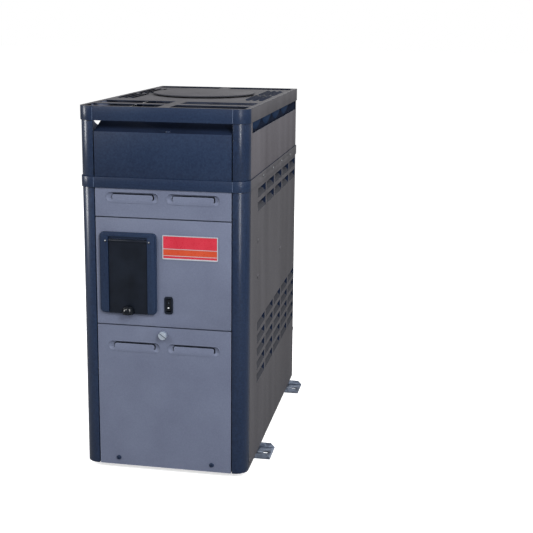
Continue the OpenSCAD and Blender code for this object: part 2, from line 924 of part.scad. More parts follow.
// A frame open below, stepped at its outer edge, with the hinge bores in its side rails
module control_bezel() {
    mid = [bezel_x, bezel_z + bezel_h / 2];
    dot_r = 3;
    dot_y = front_y - bezel_d + 1;
    color(navy)
    difference() {
        union() {
            front_plate(front_y - bezel_d + bezel_step, bezel_d - bezel_step) translate(mid)
                round_rect(bezel_w, bezel_h, bezel_round);
            front_plate(front_y - bezel_d, bezel_d) translate(mid)
                round_rect(bezel_w - 2 * bezel_step, bezel_h - 2 * bezel_step, bezel_round - bezel_step);
            for (side = [-1, 1]) intersection() {
                translate([bezel_x + side * (window_x + 5), dot_y, hinge_z]) sphere(dot_r);
                slab([bezel_x - bezel_w, dot_y - dot_r, bezel_z], [bezel_x + bezel_w, dot_y, bezel_top]);
            }
        }
        slab([bezel_x - window_x, front_y - bezel_d - over, bezel_z - over],
             [bezel_x + window_x, front_y + over, window_top]);
        slab([bezel_x - window_x, front_y - bezel_d - over, window_top - over],
             [bezel_x + window_x, front_y - bezel_d + hinge_recess[1], window_top + hinge_recess[0]]);
        rod_x([bezel_x - window_x - pin_in, hinge_y, hinge_z], hinge_r + pin_gap, 2 * (window_x + pin_in));
    }
}

module control_cover() {
    color(near_black)
    difference() {
        union() {
            slab([bezel_x - cover_w / 2, cover_front_y, bezel_z],
                 [bezel_x + cover_w / 2, cover_back_y, hinge_z]);
            rod_x([bezel_x - cover_w / 2, hinge_y, hinge_z], knuckle_r, cover_w);
        }
        for (side = [-1, 1])
            rod_x([bezel_x + side * (cover_w / 2 - pin_in / 2) - pin_in / 2 - over / 2, hinge_y, hinge_z],
                  hinge_r + pin_gap, pin_in + over);
    }
}

module cover_hinge_pins() {
    pin_half = pin_in - move_gap;
    color(steel)
    for (side = [-1, 1])
        rod_x([bezel_x + side * window_x - pin_half, hinge_y, hinge_z], hinge_r, 2 * pin_half);
}

module cover_knob() {
    color("#0b0d10")
    intersection() {
        translate([bezel_x, cover_front_y, bezel_z + knob_r * 0.35]) sphere(knob_r);
        slab([bezel_x - knob_r - over, cover_front_y - knob_r - over, bezel_z],
             [bezel_x + knob_r + over, cover_front_y, bezel_z + 3 * knob_r]);
    }
}

// The places of the four buttons, as column and row
function button_at(i) = [
    bezel_x + (i % 2 - 0.5) * button_gap_x,
    button_z - floor(i / 2) * button_gap_z
];

module keypad_housing() {
    lens = [bezel_x, lens_z];
    color(near_black)
    difference() {
        union() {
            slab([bezel_x - keypad_w / 2, keypad_face_y, keypad_z],
                 [bezel_x + keypad_w / 2, keypad_back_y, keypad_top]);
            slab([bezel_x - keypad_w / 2 - keypad_flange, front_y + sheet_t, keypad_z - keypad_flange],
                 [bezel_x + keypad_w / 2 + keypad_flange, front_y + 2 * sheet_t, keypad_top + keypad_flange]);
        }
        slab([bezel_x - keypad_w / 2 + 2, front_y + button_back, keypad_z + 2],
             [bezel_x + keypad_w / 2 - 2, keypad_back_y - 2, keypad_top - 2]);
        slab([lens[0] - lens_w / 2 - fit_gap, keypad_face_y - over, lens[1] - lens_h / 2 - fit_gap],
             [lens[0] + lens_w / 2 + fit_gap, keypad_face_y + lens_t, lens[1] + lens_h / 2 + fit_gap]);
        for (i = [0:3]) translate([button_at(i)[0], front_y, button_at(i)[1]])
            cube([button_w + 2 * move_gap, 3 * button_back, button_w + 2 * move_gap], center = true);
    }
}

module display_lens() {
    color("#3a4a3c")
    slab([bezel_x - lens_w / 2, keypad_face_y, lens_z - lens_h / 2],
         [bezel_x + lens_w / 2, keypad_face_y + lens_t, lens_z + lens_h / 2]);
}

// A keypad button with a flange behind the housing's face
module keypad_button(i) {
    p = button_at(i);
    lip = 2;
    inside = front_y + button_back;
    color(panel_grey) {
        slab([p[0] - button_w / 2, keypad_face_y - button_proud, p[1] - button_w / 2],
             [p[0] + button_w / 2, inside + over, p[1] + button_w / 2]);
        slab([p[0] - button_w / 2 - lip, inside, p[1] - button_w / 2 - lip],
             [p[0] + button_w / 2 + lip, inside + 2 * over, p[1] + button_w / 2 + lip]);
    }
}

module mode_button() {
    keypad_button(0);
}

module up_button() {
    keypad_button(1);
}

module menu_button() {
    keypad_button(2);
}

module down_button() {
    keypad_button(3);
}

module rocker_housing() {
    color(near_black)
    difference() {
        union() {
            front_plate(front_y - rocker_frame_t, rocker_frame_t) translate([rocker_x, rocker_z])
                round_rect(rocker_w, rocker_h, rocker_round);
            translate([rocker_x, front_y + rocker_body_d / 2, rocker_z])
                cube([rocker_body_w, rocker_body_d, rocker_body_h], center = true);
        }
        translate([rocker_x, front_y + rocker_body_d / 2 - rocker_wall - rocker_frame_t / 2, rocker_z])
            cube([rocker_body_w - 2 * rocker_wall, rocker_body_d + rocker_frame_t,
                  rocker_body_h - 2 * rocker_wall], center = true);
        rod_x([rocker_x - rocker_body_w, rocker_pivot_y, rocker_z],
              rocker_pin_r + pin_gap, 2 * rocker_body_w);
    }
}

// A paddle with a shallow V front and a pivot pin at each side
module power_rocker() {
    color(near_black)
    translate([rocker_x, rocker_pivot_y, rocker_z]) rotate([-rocker_tilt, 0, 0]) {
        translate([-paddle_w / 2, 0, 0]) rotate([90, 0, 90]) linear_extrude(paddle_w) polygon([
            [-3.5, 0], [-5.5, paddle_half], [0, paddle_half], [3, paddle_half * 0.7],
            [3, -paddle_half * 0.7], [0, -paddle_half], [-5.5, -paddle_half]
        ]);
        rod_x([-rocker_body_w / 2, 0, 0], rocker_pin_r, rocker_body_w);
    }
}

module control_board() {
    circuit_t = 1.6;
    chip_out = 9;
    // Each chip's middle, across and up from the board's lower edge, and its width and height
    chips = [[-20, 30, 26, 18], [15, 35, 18, 14], [-10, 75, 40, 22], [0, 110, 50, 10]];
    color(circuit_green) {
        slab([bezel_x - keypad_w / 2, keypad_back_y, keypad_z],
             [bezel_x + keypad_w / 2, keypad_back_y + circuit_t, keypad_top]);
        for (p = chips)
            translate([bezel_x + p[0] - p[2] / 2, keypad_back_y + circuit_t / 2, keypad_z + p[1] - p[3] / 2])
            cube([p[2], chip_out, p[3]]);
    }
}

module transformer() {
    color(steel) {
        translate([transformer_x - core_foot_w / 2, bulk_y - core_foot_t, transformer_z - core_foot_h / 2])
            cube([core_foot_w, core_foot_t, core_foot_h]);
        translate([transformer_x - core_w / 2, bulk_y - core_d, transformer_z - core_h / 2])
            cube([core_w, core_d, core_h]);
        translate([transformer_x, bulk_y - core_d / 2, transformer_z - core_h / 2 - coil_out])
            cylinder(d = coil_d, h = core_h + 2 * coil_out);
    }
}

module ignition_module() {
    x = 35;
    rib = 3;
    rib_w = 6;
    rib_n = 5;
    pitch = module_size[0] / (rib_n + 0.5);
    color(near_black)
    translate([x, bulk_y - module_size[1], module_z]) {
        cube(module_size);
        for (i = [0:rib_n - 1]) translate([(i + 0.6) * pitch, -rib, rib_w])
            cube([rib_w, rib + over, module_size[2] - 2 * rib_w]);
    }
}

// Slotted head, neck, shank and cross pin
module access_stud() {
    slot = 2;
    tilt = 35;
    color(galvanised) {
        difference() {
            union() {
                rod_y([0, front_y - stud_out, stud_z], stud_r, stud_out - stud_collar);
                for (a = [0:20:340]) translate([0, front_y - stud_out, stud_z]) rotate([0, a, 0])
                    rod_y([stud_r - 0.4, 1, 0], 0.9, stud_out - stud_collar - 2);
            }
            translate([0, front_y - stud_out, stud_z]) rotate([0, tilt, 0])
                cube([3 * stud_r, 5, slot], center = true);
        }
        rod_y([0, front_y - stud_collar - over, stud_z], stud_shank_r + 2, stud_collar + over);
        rod_y([0, front_y - over, stud_z], stud_shank_r, stud_pin_y - front_y + 4);
        rod_x([-stud_pin_half, stud_pin_y, stud_z], stud_pin_r, 2 * stud_pin_half);
    }
}

// A plate behind the lower cross rail, with the slot that the stud's pin passes
module stud_receptacle() {
    color(galvanised)
    front_plate(frame_y + sheet_t, receptacle_t) difference() {
        rect([-receptacle_half, stud_z - 11], [receptacle_half, stud_z + 11]);
        translate([0, stud_z]) circle(stud_shank_r + move_gap);
        translate([0, stud_z]) square([2 * stud_pin_half + 2, 2 * stud_pin_r + 1.5], center = true);
    }
}

// A screw along +Y with a flat-domed head
module screw_y(at, shank) {
    translate(at) rotate([-90, 0, 0]) {
        cylinder(r = screw_r, h = shank);
        translate([0, 0, -screw_head_h])
            cylinder(r1 = screw_head_r - screw_dome, r2 = screw_head_r, h = screw_head_h);
    }
}

module access_panel_screws() {
    color(navy)
    both_sides() screw_y([access_screw_x, front_y, access_screw_z], frame_y - front_y + screw_in);
}

module jacket_screws() {
    color(navy) {
        for (s = right_screws())
            translate([half_w, back(s[0]), s[1]]) rotate(90) screw_y([0, 0, 0], screw_in);
        for (s = side_screws())
            translate([-half_w, back(s[0]), s[1]]) rotate(-90) screw_y([0, 0, 0], screw_in);
        at_deflector_screw() screw_y([0, 0, 0], screw_in);
    }
}

module collar_screws() {
    color(navy)
    both_sides() for (d = collar_rivets) {
        rod_x([half_w + lip_out, back(d), collar_z + collar_h / 2], rivet_r, rivet_h);
        rod_x([half_w + lip_out - 2, back(d), collar_z + collar_h / 2], screw_r, 2 + over);
    }
}

// An open tray with a ledge for the boards, holes for the burners and a rest at their far ends
module burner_tray() {
    ledge = board_t + sheet_t;
    rest_y = box_end - burner_short - rest_back;
    rest_t = 2;
    color(steel)
    difference() {
        union() {
            difference() {
                slab([-box_x, box_y, tray_z], [box_x, box_end, tray_top]);
                slab([-box_x + sheet_t, box_y + sheet_t, tray_z + sheet_t],
                     [box_x - sheet_t, box_end - sheet_t, tray_top - sheet_t]);
                slab([-box_x + ledge, box_y + ledge, tray_z + sheet_t],
                     [box_x - ledge, box_end - ledge, tray_top + over]);
            }
            slab([-box_x + sheet_t / 2, rest_y, tray_z],
                 [box_x - sheet_t / 2, rest_y + rest_t, burner_z + burner_r + 2 * rest_t]);
        }
        for (i = [0:burner_n - 1], y = [box_y, rest_y])
            rod_y([burner_x0 + i * burner_pitch, y - over, burner_z], burner_r + fit_gap, rest_t + 2 * over);
    }
}

// Tubes with a flared mouth in the bay, a closed far end and a flame slot on top
module burners() {
    mouth = mouth_out - flare_l;
    wall = 1.5;
    length = box_end - burner_short - bulk_y + mouth;
    flare = 5;
    flame_w = 3;
    flame_in = 60;
    color(galvanised)
    for (i = [0:burner_n - 1])
        translate([burner_x0 + i * burner_pitch, bulk_y - mouth, burner_z])
        difference() {
            union() {
                rod_y([0, 0, 0], burner_r, length);
                translate([0, -flare_l, 0]) rotate([-90, 0, 0])
                    cylinder(r1 = burner_r + flare, r2 = burner_r, h = flare_l + over);
            }
            rod_y([0, -flare_l - over, 0], burner_r - wall, length + flare_l + over - wall);
            slab([-flame_w / 2, flame_in, 0], [flame_w / 2, length - flame_in, burner_r + over]);
        }
}

module gas_manifold() {
    spud_r = 5;
    tip = bulk_y - mouth_out - spud_gap;
    end_x = -burner_x0 + burner_r + 2;
    lug = 10;
    color(near_black) {
        rod_x([-end_x, manifold_y, burner_z], pipe_r, 2 * end_x);
        rod_z([valve_x, manifold_y, burner_z], pipe_r, valve_z - burner_z);
        for (i = [0:burner_n - 1])
            rod_y([burner_x0 + i * burner_pitch, manifold_y, burner_z], spud_r, tip - manifold_y);
        both_sides() slab([end_x - over, manifold_y - lug, burner_z - lug],
                          [end_x + lug + 4, manifold_y + 2, burner_z + lug]);
        both_sides() slab([bay_window_x + 2, manifold_y, burner_z - lug],
                          [bay_window_x + 6, bulk_y, burner_z + lug]);
    }
}

// A cast valve body with a regulator turret and an outlet boss
module gas_valve() {
    color(galvanised) {
        slab([valve_x - valve_w / 2, pipe_y - valve_d / 2, valve_z],
             [valve_x + valve_w / 2, pipe_y + valve_d / 2, valve_top]);
        rod_y([valve_x + 22, pipe_y - valve_d / 2 - 10, inlet_z], 15, 12);
        rod_z([valve_x + 26, pipe_y, valve_top - over], 12, 24);
        rod_x([valve_x - valve_w / 2 - 8, pipe_y, inlet_z], pipe_r + 5, 10);
    }
}

module gas_valve_knob() {
    x = valve_x - 18;
    foot = 3;
    rib_r = 1.8;
    color(near_black) {
        rod_z([x, pipe_y, valve_top], gas_knob_r, gas_knob_h);
        for (a = [0:30:330]) translate([x, pipe_y, valve_top + foot]) rotate(a)
            rod_z([gas_knob_r - 0.5, 0, 0], rib_r, gas_knob_h - 2 * foot);
        slab([x - 2, pipe_y - gas_knob_r + 2, valve_top + gas_knob_h - over],
             [x + 2, pipe_y + gas_knob_r - 2, valve_top + gas_knob_h + 6]);
    }
}

// The pipe from the valve through the left side, with a full-size threaded end outside
module gas_inlet_pipe() {
    valve_face = valve_x - valve_w / 2 - 8;
    step_x = -half_w - 3;
    inner_r = pipe_r - 0.6;
    color(near_black)
    difference() {
        union() {
            rod_x([step_x - over, pipe_y, inlet_z], inner_r, valve_face - step_x + over);
            rod_x([-half_w - pipe_out, pipe_y, inlet_z], pipe_r, pipe_out - 3);
        }
        rod_x([-half_w - pipe_out - over, pipe_y, inlet_z], pipe_r - 3.4, valve_face + half_w + pipe_out);
    }
}

// A pilot burner and its spark rod, on a foot between two burners
module pilot_assembly() {
    x = burner_x0 + (burner_n - 1.5) * burner_pitch;
    y = box_y + 34;
    foot_z = tray_z + sheet_t;
    color(steel) {
        slab([x - 8, y - 10, foot_z], [x + 8, y + 22, foot_z + 2]);
        rod_z([x, y, foot_z], 4, burner_z + 18 - foot_z);
        rod_z([x, y, burner_z + 14], 6, 10);
        rod_z([x, y + 15, foot_z], 2, burner_z + 26 - foot_z);
    }
}

module combustion_chamber() {
    color(steel)
    difference() {
        slab([-box_x, box_y, tray_top], [box_x, box_end, chamber_top]);
        slab([-box_x + sheet_t, box_y + sheet_t, tray_top - over],
             [box_x - sheet_t, box_end - sheet_t, chamber_top + over]);
    }
}

// Four boards that line the combustion chamber
module refractory_panels() {
    in_x = box_x - sheet_t;
    y0 = box_y + sheet_t;
    y1 = box_end - sheet_t;
    color(board_white) {
        slab([-in_x, y0, tray_top], [in_x, y0 + board_t, chamber_top]);
        slab([-in_x, y1 - board_t, tray_top], [in_x, y1, chamber_top]);
        both_sides() slab([in_x - board_t, y0 + board_t + fit_gap, tray_top],
                          [in_x, y1 - board_t - fit_gap, chamber_top]);
    }
}

function tube_y(i) = box_mid - tube_row / 2 + i * tube_pitch;

// A finned tube turned about its axis: fins between the tube sheets, plain ends through them
module exchanger_tubes() {
    fin_t = 1.5;
    fin_half = box_x - plate_t - 6;
    fin_n = floor((2 * fin_half - fin_t) / fin_pitch);
    start = -fin_n * fin_pitch / 2;
    fins = [for (i = [0:fin_n]) each [
        [tube_r, start + i * fin_pitch - fin_t / 2], [fin_r, start + i * fin_pitch - fin_t / 2],
        [fin_r, start + i * fin_pitch + fin_t / 2], [tube_r, start + i * fin_pitch + fin_t / 2]
    ]];
    bore = tube_r - tube_wall;
    color(copper)
    for (i = [0:tube_n - 1]) translate([0, tube_y(i), tube_z]) rotate([0, 90, 0]) rotate_extrude($fn = 32)
        polygon(concat([[bore, -box_x], [tube_r, -box_x]], fins, [[tube_r, box_x], [bore, box_x]]));
}

module tube_sheets() {
    color(steel)
    both_sides() difference() {
        slab([box_x - plate_t, box_mid - row_half, chamber_top], [box_x, box_mid + row_half, exchanger_top]);
        for (i = [0:tube_n - 1])
            rod_x([box_x - plate_t - over, tube_y(i), tube_z], tube_r + fit_gap, plate_t + 2 * over);
    }
}

module header_gaskets() {
    color(near_black)
    both_sides() difference() {
        slab([box_x, box_mid - row_half, tube_z - header_h / 2],
             [gasket_x, box_mid + row_half, tube_z + header_h / 2]);
        for (i = [0:tube_n - 1]) rod_x([box_x - over, tube_y(i), tube_z], tube_r, gasket_t + 2 * over);
    }
}

// A header's water box, drawn on the right, open towards the tubes
module water_box() {
    difference() {
        slab([gasket_x, box_mid - row_half, tube_z - header_h / 2],
             [header_x, box_mid + row_half, tube_z + header_h / 2]);
        slab([gasket_x - over, box_mid - row_half + 2 * header_wall, tube_z - tube_r - 4],
             [header_x - header_wall, box_mid + row_half - 2 * header_wall, tube_z + tube_r + 4]);
    }
}

// The header with both water ports and the relief valve's boss, on the left
module inlet_outlet_header() {
    boss_x = header_x + 3;
    color(bronze)
    difference() {
        union() {
            mirror([1, 0, 0]) water_box();
            slab([-header_x, box_mid - header_wall, tube_z - header_h / 2 + 2],
                 [-gasket_x, box_mid + header_wall, tube_z + header_h / 2 - 2]);
            for (side = [-1, 1]) {
                rod_x([-port_x, box_mid + side * port_pitch / 2, tube_z], port_r, port_x - header_x + over);
                rod_x([-port_x, box_mid + side * port_pitch / 2, tube_z], thread_r, nut_grip + 2);
            }
            rod_x([-boss_x, box_mid, tube_z], relief_stem_r, boss_x - header_x + over);
        }
        for (side = [-1, 1])
            rod_x([-port_x - over, box_mid + side * port_pitch / 2, tube_z], socket_r - socket_stop,
                  port_x - header_x + header_wall + 2 * over);
    }
}

module return_header() {
    color(bronze) water_box();
}

// A ring nut with grip ribs, which pulls a tailpiece's flange against the port
module union_nut(side) {
    y = box_mid + side * port_pitch / 2;
    start = -port_x - tail_flange - nut_lip;
    length = nut_lip + tail_flange + nut_grip;
    rib_n = 12;
    rib_w = 6;
    rib_out = 3.5;
    rib_end = 2;
    color(near_black)
    translate([start, y, tube_z]) rotate([0, 90, 0]) difference() {
        union() {
            cylinder(r = nut_r, h = length);
            for (i = [0:rib_n - 1]) rotate(i * 360 / rib_n)
                translate([nut_r - rib_out, -rib_w / 2, rib_end])
                cube([2 * rib_out, rib_w, length - 2 * rib_end]);
        }
        translate([0, 0, nut_lip]) cylinder(r = thread_r + move_gap, h = length);
        translate([0, 0, -over]) cylinder(r = port_r + move_gap, h = length);
    }
}

module inlet_union_nut() {
    union_nut(1);
}

module outlet_union_nut() {
    union_nut(-1);
}

// Flanged tails with a socket for the pool's water pipe
module union_tailpieces() {
    color(near_black)
    for (side = [-1, 1])
        translate([-port_x, box_mid + side * port_pitch / 2, tube_z]) rotate([0, -90, 0])
        difference() {
            union() {
                cylinder(r = thread_r, h = tail_flange);
                cylinder(r = port_r, h = tail_flange + socket_l);
            }
            translate([0, 0, tail_flange]) cylinder(r = socket_r, h = socket_l + over);
            translate([0, 0, -over]) cylinder(r = socket_r - socket_stop, h = tail_flange + 2 * over);
        }
}

// A spring relief valve: stem, body, bonnet, fork for the lever and a discharge boss below
module relief_valve() {
    boss_r = drain_r + 3.5;
    mid_x = -(relief_x + relief_l / 2);
    boss_end = tube_z - relief_r - drain_l;
    color(brass)
    difference() {
        union() {
            rod_x([-relief_x - over, box_mid, tube_z], relief_stem_r, relief_x - header_x - 3 + over);
            rod_x([-relief_end, box_mid, tube_z], relief_r, relief_l);
            rod_x([-relief_end - relief_cap, box_mid, tube_z], relief_r - 4, relief_cap + over);
            rod_z([mid_x, box_mid, boss_end], boss_r, tube_z - boss_end);
            for (side = [-1, 1]) translate([0, box_mid + side * (relief_fork / 2 + relief_ear / 2), 0])
                slab([relief_pivot_x - 5, -relief_ear / 2, relief_pivot_z - 6],
                     [-relief_end - relief_cap + over, relief_ear / 2, relief_pivot_z + 6]);
            rod_y([relief_pivot_x, box_mid - relief_fork / 2 - relief_ear, relief_pivot_z],
                  relief_pin_r, relief_fork + 2 * relief_ear);
        }
        rod_z([mid_x, box_mid, boss_end - over], drain_r, drain_l + over);
    }
}

// The test lever, upright at rest, on the fork's pin
module relief_lever() {
    w = relief_fork - 2 * move_gap;
    color(steel)
    difference() {
        union() {
            rod_y([relief_pivot_x, box_mid - w / 2, relief_pivot_z], relief_hub_r, w);
            slab([relief_pivot_x - lever_t / 2, box_mid - w / 2, relief_pivot_z],
                 [relief_pivot_x + lever_t / 2, box_mid + w / 2, relief_pivot_z + lever_l]);
            slab([relief_pivot_x - lever_t / 2, box_mid - w, relief_pivot_z + lever_l - 14],
                 [relief_pivot_x + lever_t / 2, box_mid + w, relief_pivot_z + lever_l]);
        }
        rod_y([relief_pivot_x, box_mid - w, relief_pivot_z], relief_pin_r + pin_gap, 2 * w);
    }
}

// A tapered box over the heat exchanger, with a round outlet through the jacket's top
module flue_collector() {
    skirt = 14;
    taper_top = collar_z - 40;
    outlet_top = hood_z + 30;
    color(galvanised) {
        difference() {
            union() {
                hull() {
                    slab([-box_x, box_y, exchanger_top], [box_x, box_end, exchanger_top + skirt]);
                    rod_z([0, disc_y, taper_top - over], flue_r, over);
                }
                rod_z([0, disc_y, taper_top - over], flue_r, outlet_top - taper_top + over);
            }
            hull() {
                slab([-box_x + sheet_t, box_y + sheet_t, exchanger_top - over],
                     [box_x - sheet_t, box_end - sheet_t, exchanger_top + skirt]);
                rod_z([0, disc_y, taper_top - 2 * over], flue_r - sheet_t, over);
            }
            rod_z([0, disc_y, taper_top - 3 * over], flue_r - sheet_t, outlet_top - taper_top + 4 * over);
        }
        for (y = [box_y, box_end - sheet_t])
            slab([-box_x + plate_t, y, chamber_top], [box_x - plate_t, y + sheet_t, exchanger_top]);
    }
}

anchor_rails();
base_pan();
left_side_panel();
right_side_panel();
rear_panel();
corner_posts();
cross_rails();
bay_bulkhead();
access_panel();
control_panel();
upper_front_panel();
jacket_top();
hood_posts();
hood_side_panels();
rear_hood_panel();
front_deflector();
hood_baffles();
top_cap();
flue_cover_disc();
badge_plate();
control_bezel();
control_cover();
cover_hinge_pins();
cover_knob();
keypad_housing();
display_lens();
mode_button();
up_button();
down_button();
menu_button();
rocker_housing();
power_rocker();
control_board();
transformer();
ignition_module();
access_stud();
stud_receptacle();
access_panel_screws();
jacket_screws();
collar_screws();
burner_tray();
burners();
gas_manifold();
gas_valve();
gas_valve_knob();
gas_inlet_pipe();
pilot_assembly();
combustion_chamber();
refractory_panels();
exchanger_tubes();
tube_sheets();
header_gaskets();
inlet_outlet_header();
return_header();
inlet_union_nut();
outlet_union_nut();
union_tailpieces();
relief_valve();
relief_lever();
flue_collector();
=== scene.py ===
# %% [markdown]
# # A gas pool heater, finished in Blender
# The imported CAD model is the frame: sixty separate pieces at their real size, in metres, front towards -Y.
# This lesson leaves every piece where it is and gives it the look of the real thing. Painted sheet gets
# softened edges, louvres and screws are repeated with Geometry Nodes, and each finish is built from nodes.

# %% Load the frame
import json
import math

import bmesh
import bpy
import numpy as np
from mathutils import Matrix, Vector


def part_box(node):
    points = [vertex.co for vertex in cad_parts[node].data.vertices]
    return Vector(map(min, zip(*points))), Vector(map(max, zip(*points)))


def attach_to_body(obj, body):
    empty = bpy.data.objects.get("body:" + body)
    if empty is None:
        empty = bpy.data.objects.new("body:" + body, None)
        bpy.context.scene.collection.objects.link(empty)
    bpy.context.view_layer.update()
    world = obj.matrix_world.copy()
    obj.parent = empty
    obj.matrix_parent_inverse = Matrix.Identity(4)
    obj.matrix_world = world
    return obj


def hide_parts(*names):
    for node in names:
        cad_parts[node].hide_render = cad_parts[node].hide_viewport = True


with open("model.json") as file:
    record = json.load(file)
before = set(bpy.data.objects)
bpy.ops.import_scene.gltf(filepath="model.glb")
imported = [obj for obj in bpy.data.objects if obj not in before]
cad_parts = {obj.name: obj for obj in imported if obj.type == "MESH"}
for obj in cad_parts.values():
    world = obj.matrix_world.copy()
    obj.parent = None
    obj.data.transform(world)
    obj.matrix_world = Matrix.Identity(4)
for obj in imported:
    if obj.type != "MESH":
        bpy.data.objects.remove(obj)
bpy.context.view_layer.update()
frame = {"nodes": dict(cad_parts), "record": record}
nodes = frame["nodes"]
record = frame["record"]
body_of = {node: body for body, members in record["behaviour"]["bodies"].items() for node in members}
slot_of = {part["node"]: part["material_slot"] for part in record["subparts"]}

# %% [markdown]
# ## Camera first
# The photograph was taken a little to the right of the cabinet's front and from slightly above its top.
# A camera could be aimed by eye, but solving for it from a few known corners is surer. The numbers below
# are that solution: where the optical axis meets the plane through the cabinet, how far back the lens is,
# and its focal length in pixels of a 533 pixel frame. A small downward shift keeps the posts upright.

# %% Camera
MM = 0.001
FRAME_PX = 533
FOCAL_PX = 1034.232
SENSOR_MM = 36
AIM_MM = Vector((171.126, -38, 553.527))
AZIMUTH, ELEVATION, ROLL = (math.radians(a) for a in (10.121, 10.76, 0.536))
DISTANCE_MM = 2580.9
SHIFT_Y = -0.1

back = Vector((math.sin(AZIMUTH) * math.cos(ELEVATION),
               -math.cos(AZIMUTH) * math.cos(ELEVATION),
               math.sin(ELEVATION)))
level = Vector((math.cos(AZIMUTH), math.sin(AZIMUTH), 0))
right = math.cos(ROLL) * level + math.sin(ROLL) * back.cross(level)
turn = Matrix((right, back.cross(right), back)).transposed().to_4x4()
lens = bpy.data.cameras.new("photo_camera")
lens.sensor_width = SENSOR_MM
lens.lens = FOCAL_PX * SENSOR_MM / FRAME_PX
lens.shift_y = SHIFT_Y
camera = bpy.data.objects.new("photo_camera", lens)
camera.matrix_world = Matrix.Translation((AIM_MM + back * DISTANCE_MM) * MM) @ turn
bpy.context.scene.collection.objects.link(camera)
bpy.context.scene.camera = camera
print("lens", round(lens.lens, 2), "mm")

# %% [markdown]
# ## Small helpers for materials
# Colours are picked as sRGB hex values, as on any screen, but shaders work in linear light, so one function
# converts them. Node trees get long when each node takes five lines, so a second function adds a node, sets
# its options and joins its inputs in one call. The others are steps that several finishes share; they find
# the tree they work in through the socket they are given.

# %% Helpers for colours and nodes
NOISE_LOW, NOISE_HIGH = 0.3, 0.7


def linear(hex_colour):
    """An sRGB hex value as the linear colour that shaders take."""
    parts = [int(hex_colour[i:i + 2], 16) / 255 for i in (1, 3, 5)]
    return (*[c / 12.92 if c <= 0.04045 else ((c + 0.055) / 1.055) ** 2.4 for c in parts], 1)


def add(tree, kind, inputs=(), **settings):
    """Adds one node with its settings. An input takes a value or another node's socket."""
    made = tree.nodes.new(kind)
    for key, value in settings.items():
        setattr(made, key, value)
    for key, value in dict(inputs).items():
        if isinstance(value, bpy.types.NodeSocket):
            tree.links.new(value, made.inputs[key])
        else:
            made.inputs[key].default_value = value
    return made


def new_finish(name, sockets):
    """A new material with uniform values on its shader, and its Object coordinates."""
    material = bpy.data.materials.new(name)
    material.use_nodes = True
    tree = material.node_tree
    for socket, value in sockets.items():
        tree.nodes["Principled BSDF"].inputs[socket].default_value = value
    return material, add(tree, "ShaderNodeTexCoord").outputs["Object"]


def noise(place, size_mm, detail=3.0):
    """Cloudy noise whose blotches are about size_mm across."""
    return add(place.id_data, "ShaderNodeTexNoise",
               {"Vector": place, "Scale": 1 / (size_mm * MM), "Detail": detail}).outputs["Fac"]


def calculate(operation, first, *others):
    """The result of one sum with a socket and other sockets or numbers."""
    values = enumerate((first, *others))
    return add(first.id_data, "ShaderNodeMath", values, operation=operation).outputs[0]


def stretched(place, scale):
    """Coordinates with another scale along each axis; a small one draws a pattern out."""
    return add(place.id_data, "ShaderNodeMapping", {"Vector": place, "Scale": scale}).outputs[0]


def spread(factor, low=0.0, high=1.0):
    """Spreads a noise's middle range over the way from low to high."""
    limits = {"From Min": NOISE_LOW, "From Max": NOISE_HIGH, "To Min": low, "To Max": high}
    return add(factor.id_data, "ShaderNodeMapRange", {"Value": factor, **limits}).outputs[0]


def mixed(factor, deep, pale):
    """A colour between two hex values."""
    inputs = {0: factor, 6: linear(deep), 7: linear(pale)}
    return add(factor.id_data, "ShaderNodeMix", inputs, data_type="RGBA").outputs[2]


def wire(material, level, deep, pale, gloss, roughness, height, relief_mm):
    """Gives the shader a tone between two colours, a roughness range that follows gloss, and a bump."""
    tree = material.node_tree
    bump = add(tree, "ShaderNodeBump", {"Height": height, "Distance": relief_mm * MM}).outputs[0]
    for socket, value in (("Base Color", mixed(spread(level), deep, pale)),
                          ("Roughness", spread(gloss, *roughness)), ("Normal", bump)):
        tree.links.new(value, tree.nodes["Principled BSDF"].inputs[socket])
    return material


print("helpers ready")

# %% [markdown]
# ## Powder coat
# The jacket is steel sheet sprayed with dry paint powder and baked. The melted grains leave a fine, slightly
# lumpy skin with a satin gloss. A flat colour with one roughness would look like plastic film, so two noises
# work together: a fine one for the grain and a broad one for the drift in tone that a large sheet shows.
# The real grain is about 0.5 mm, which the render can't show, so it is drawn at 2 to 4 mm.
# The flat sides and the top, seen at a low angle, mirror the pale surroundings and look warm grey, with
# upright bands where the sheet is wavy, while the round posts stay navy. That reflection is painted: those
# faces get a warm grey coat of their own. The hollows of louvres and seams get a darker, duller coat as
# painted shade.

# %% Powder coats
COAT_IOR, POWDER_RELIEF_MM = 1.5, 0.12


def powder_coat(name, deep, pale, roughness, grain_mm, gloss, drift_mm=90, stretch=1.0):
    """Baked powder paint: satin, with a fine lumpy grain and a broad drift in tone."""
    material, place = new_finish(name, {"IOR": COAT_IOR, "Specular IOR Level": gloss})
    grain = noise(place, grain_mm, detail=4.0)
    drift = noise(stretched(place, (1, 1, stretch)), drift_mm, detail=2.0)
    level = calculate("MULTIPLY_ADD", drift, 0.5, calculate("MULTIPLY", grain, 0.5))
    return wire(material, level, deep, pale, drift, roughness, grain, POWDER_RELIEF_MM)


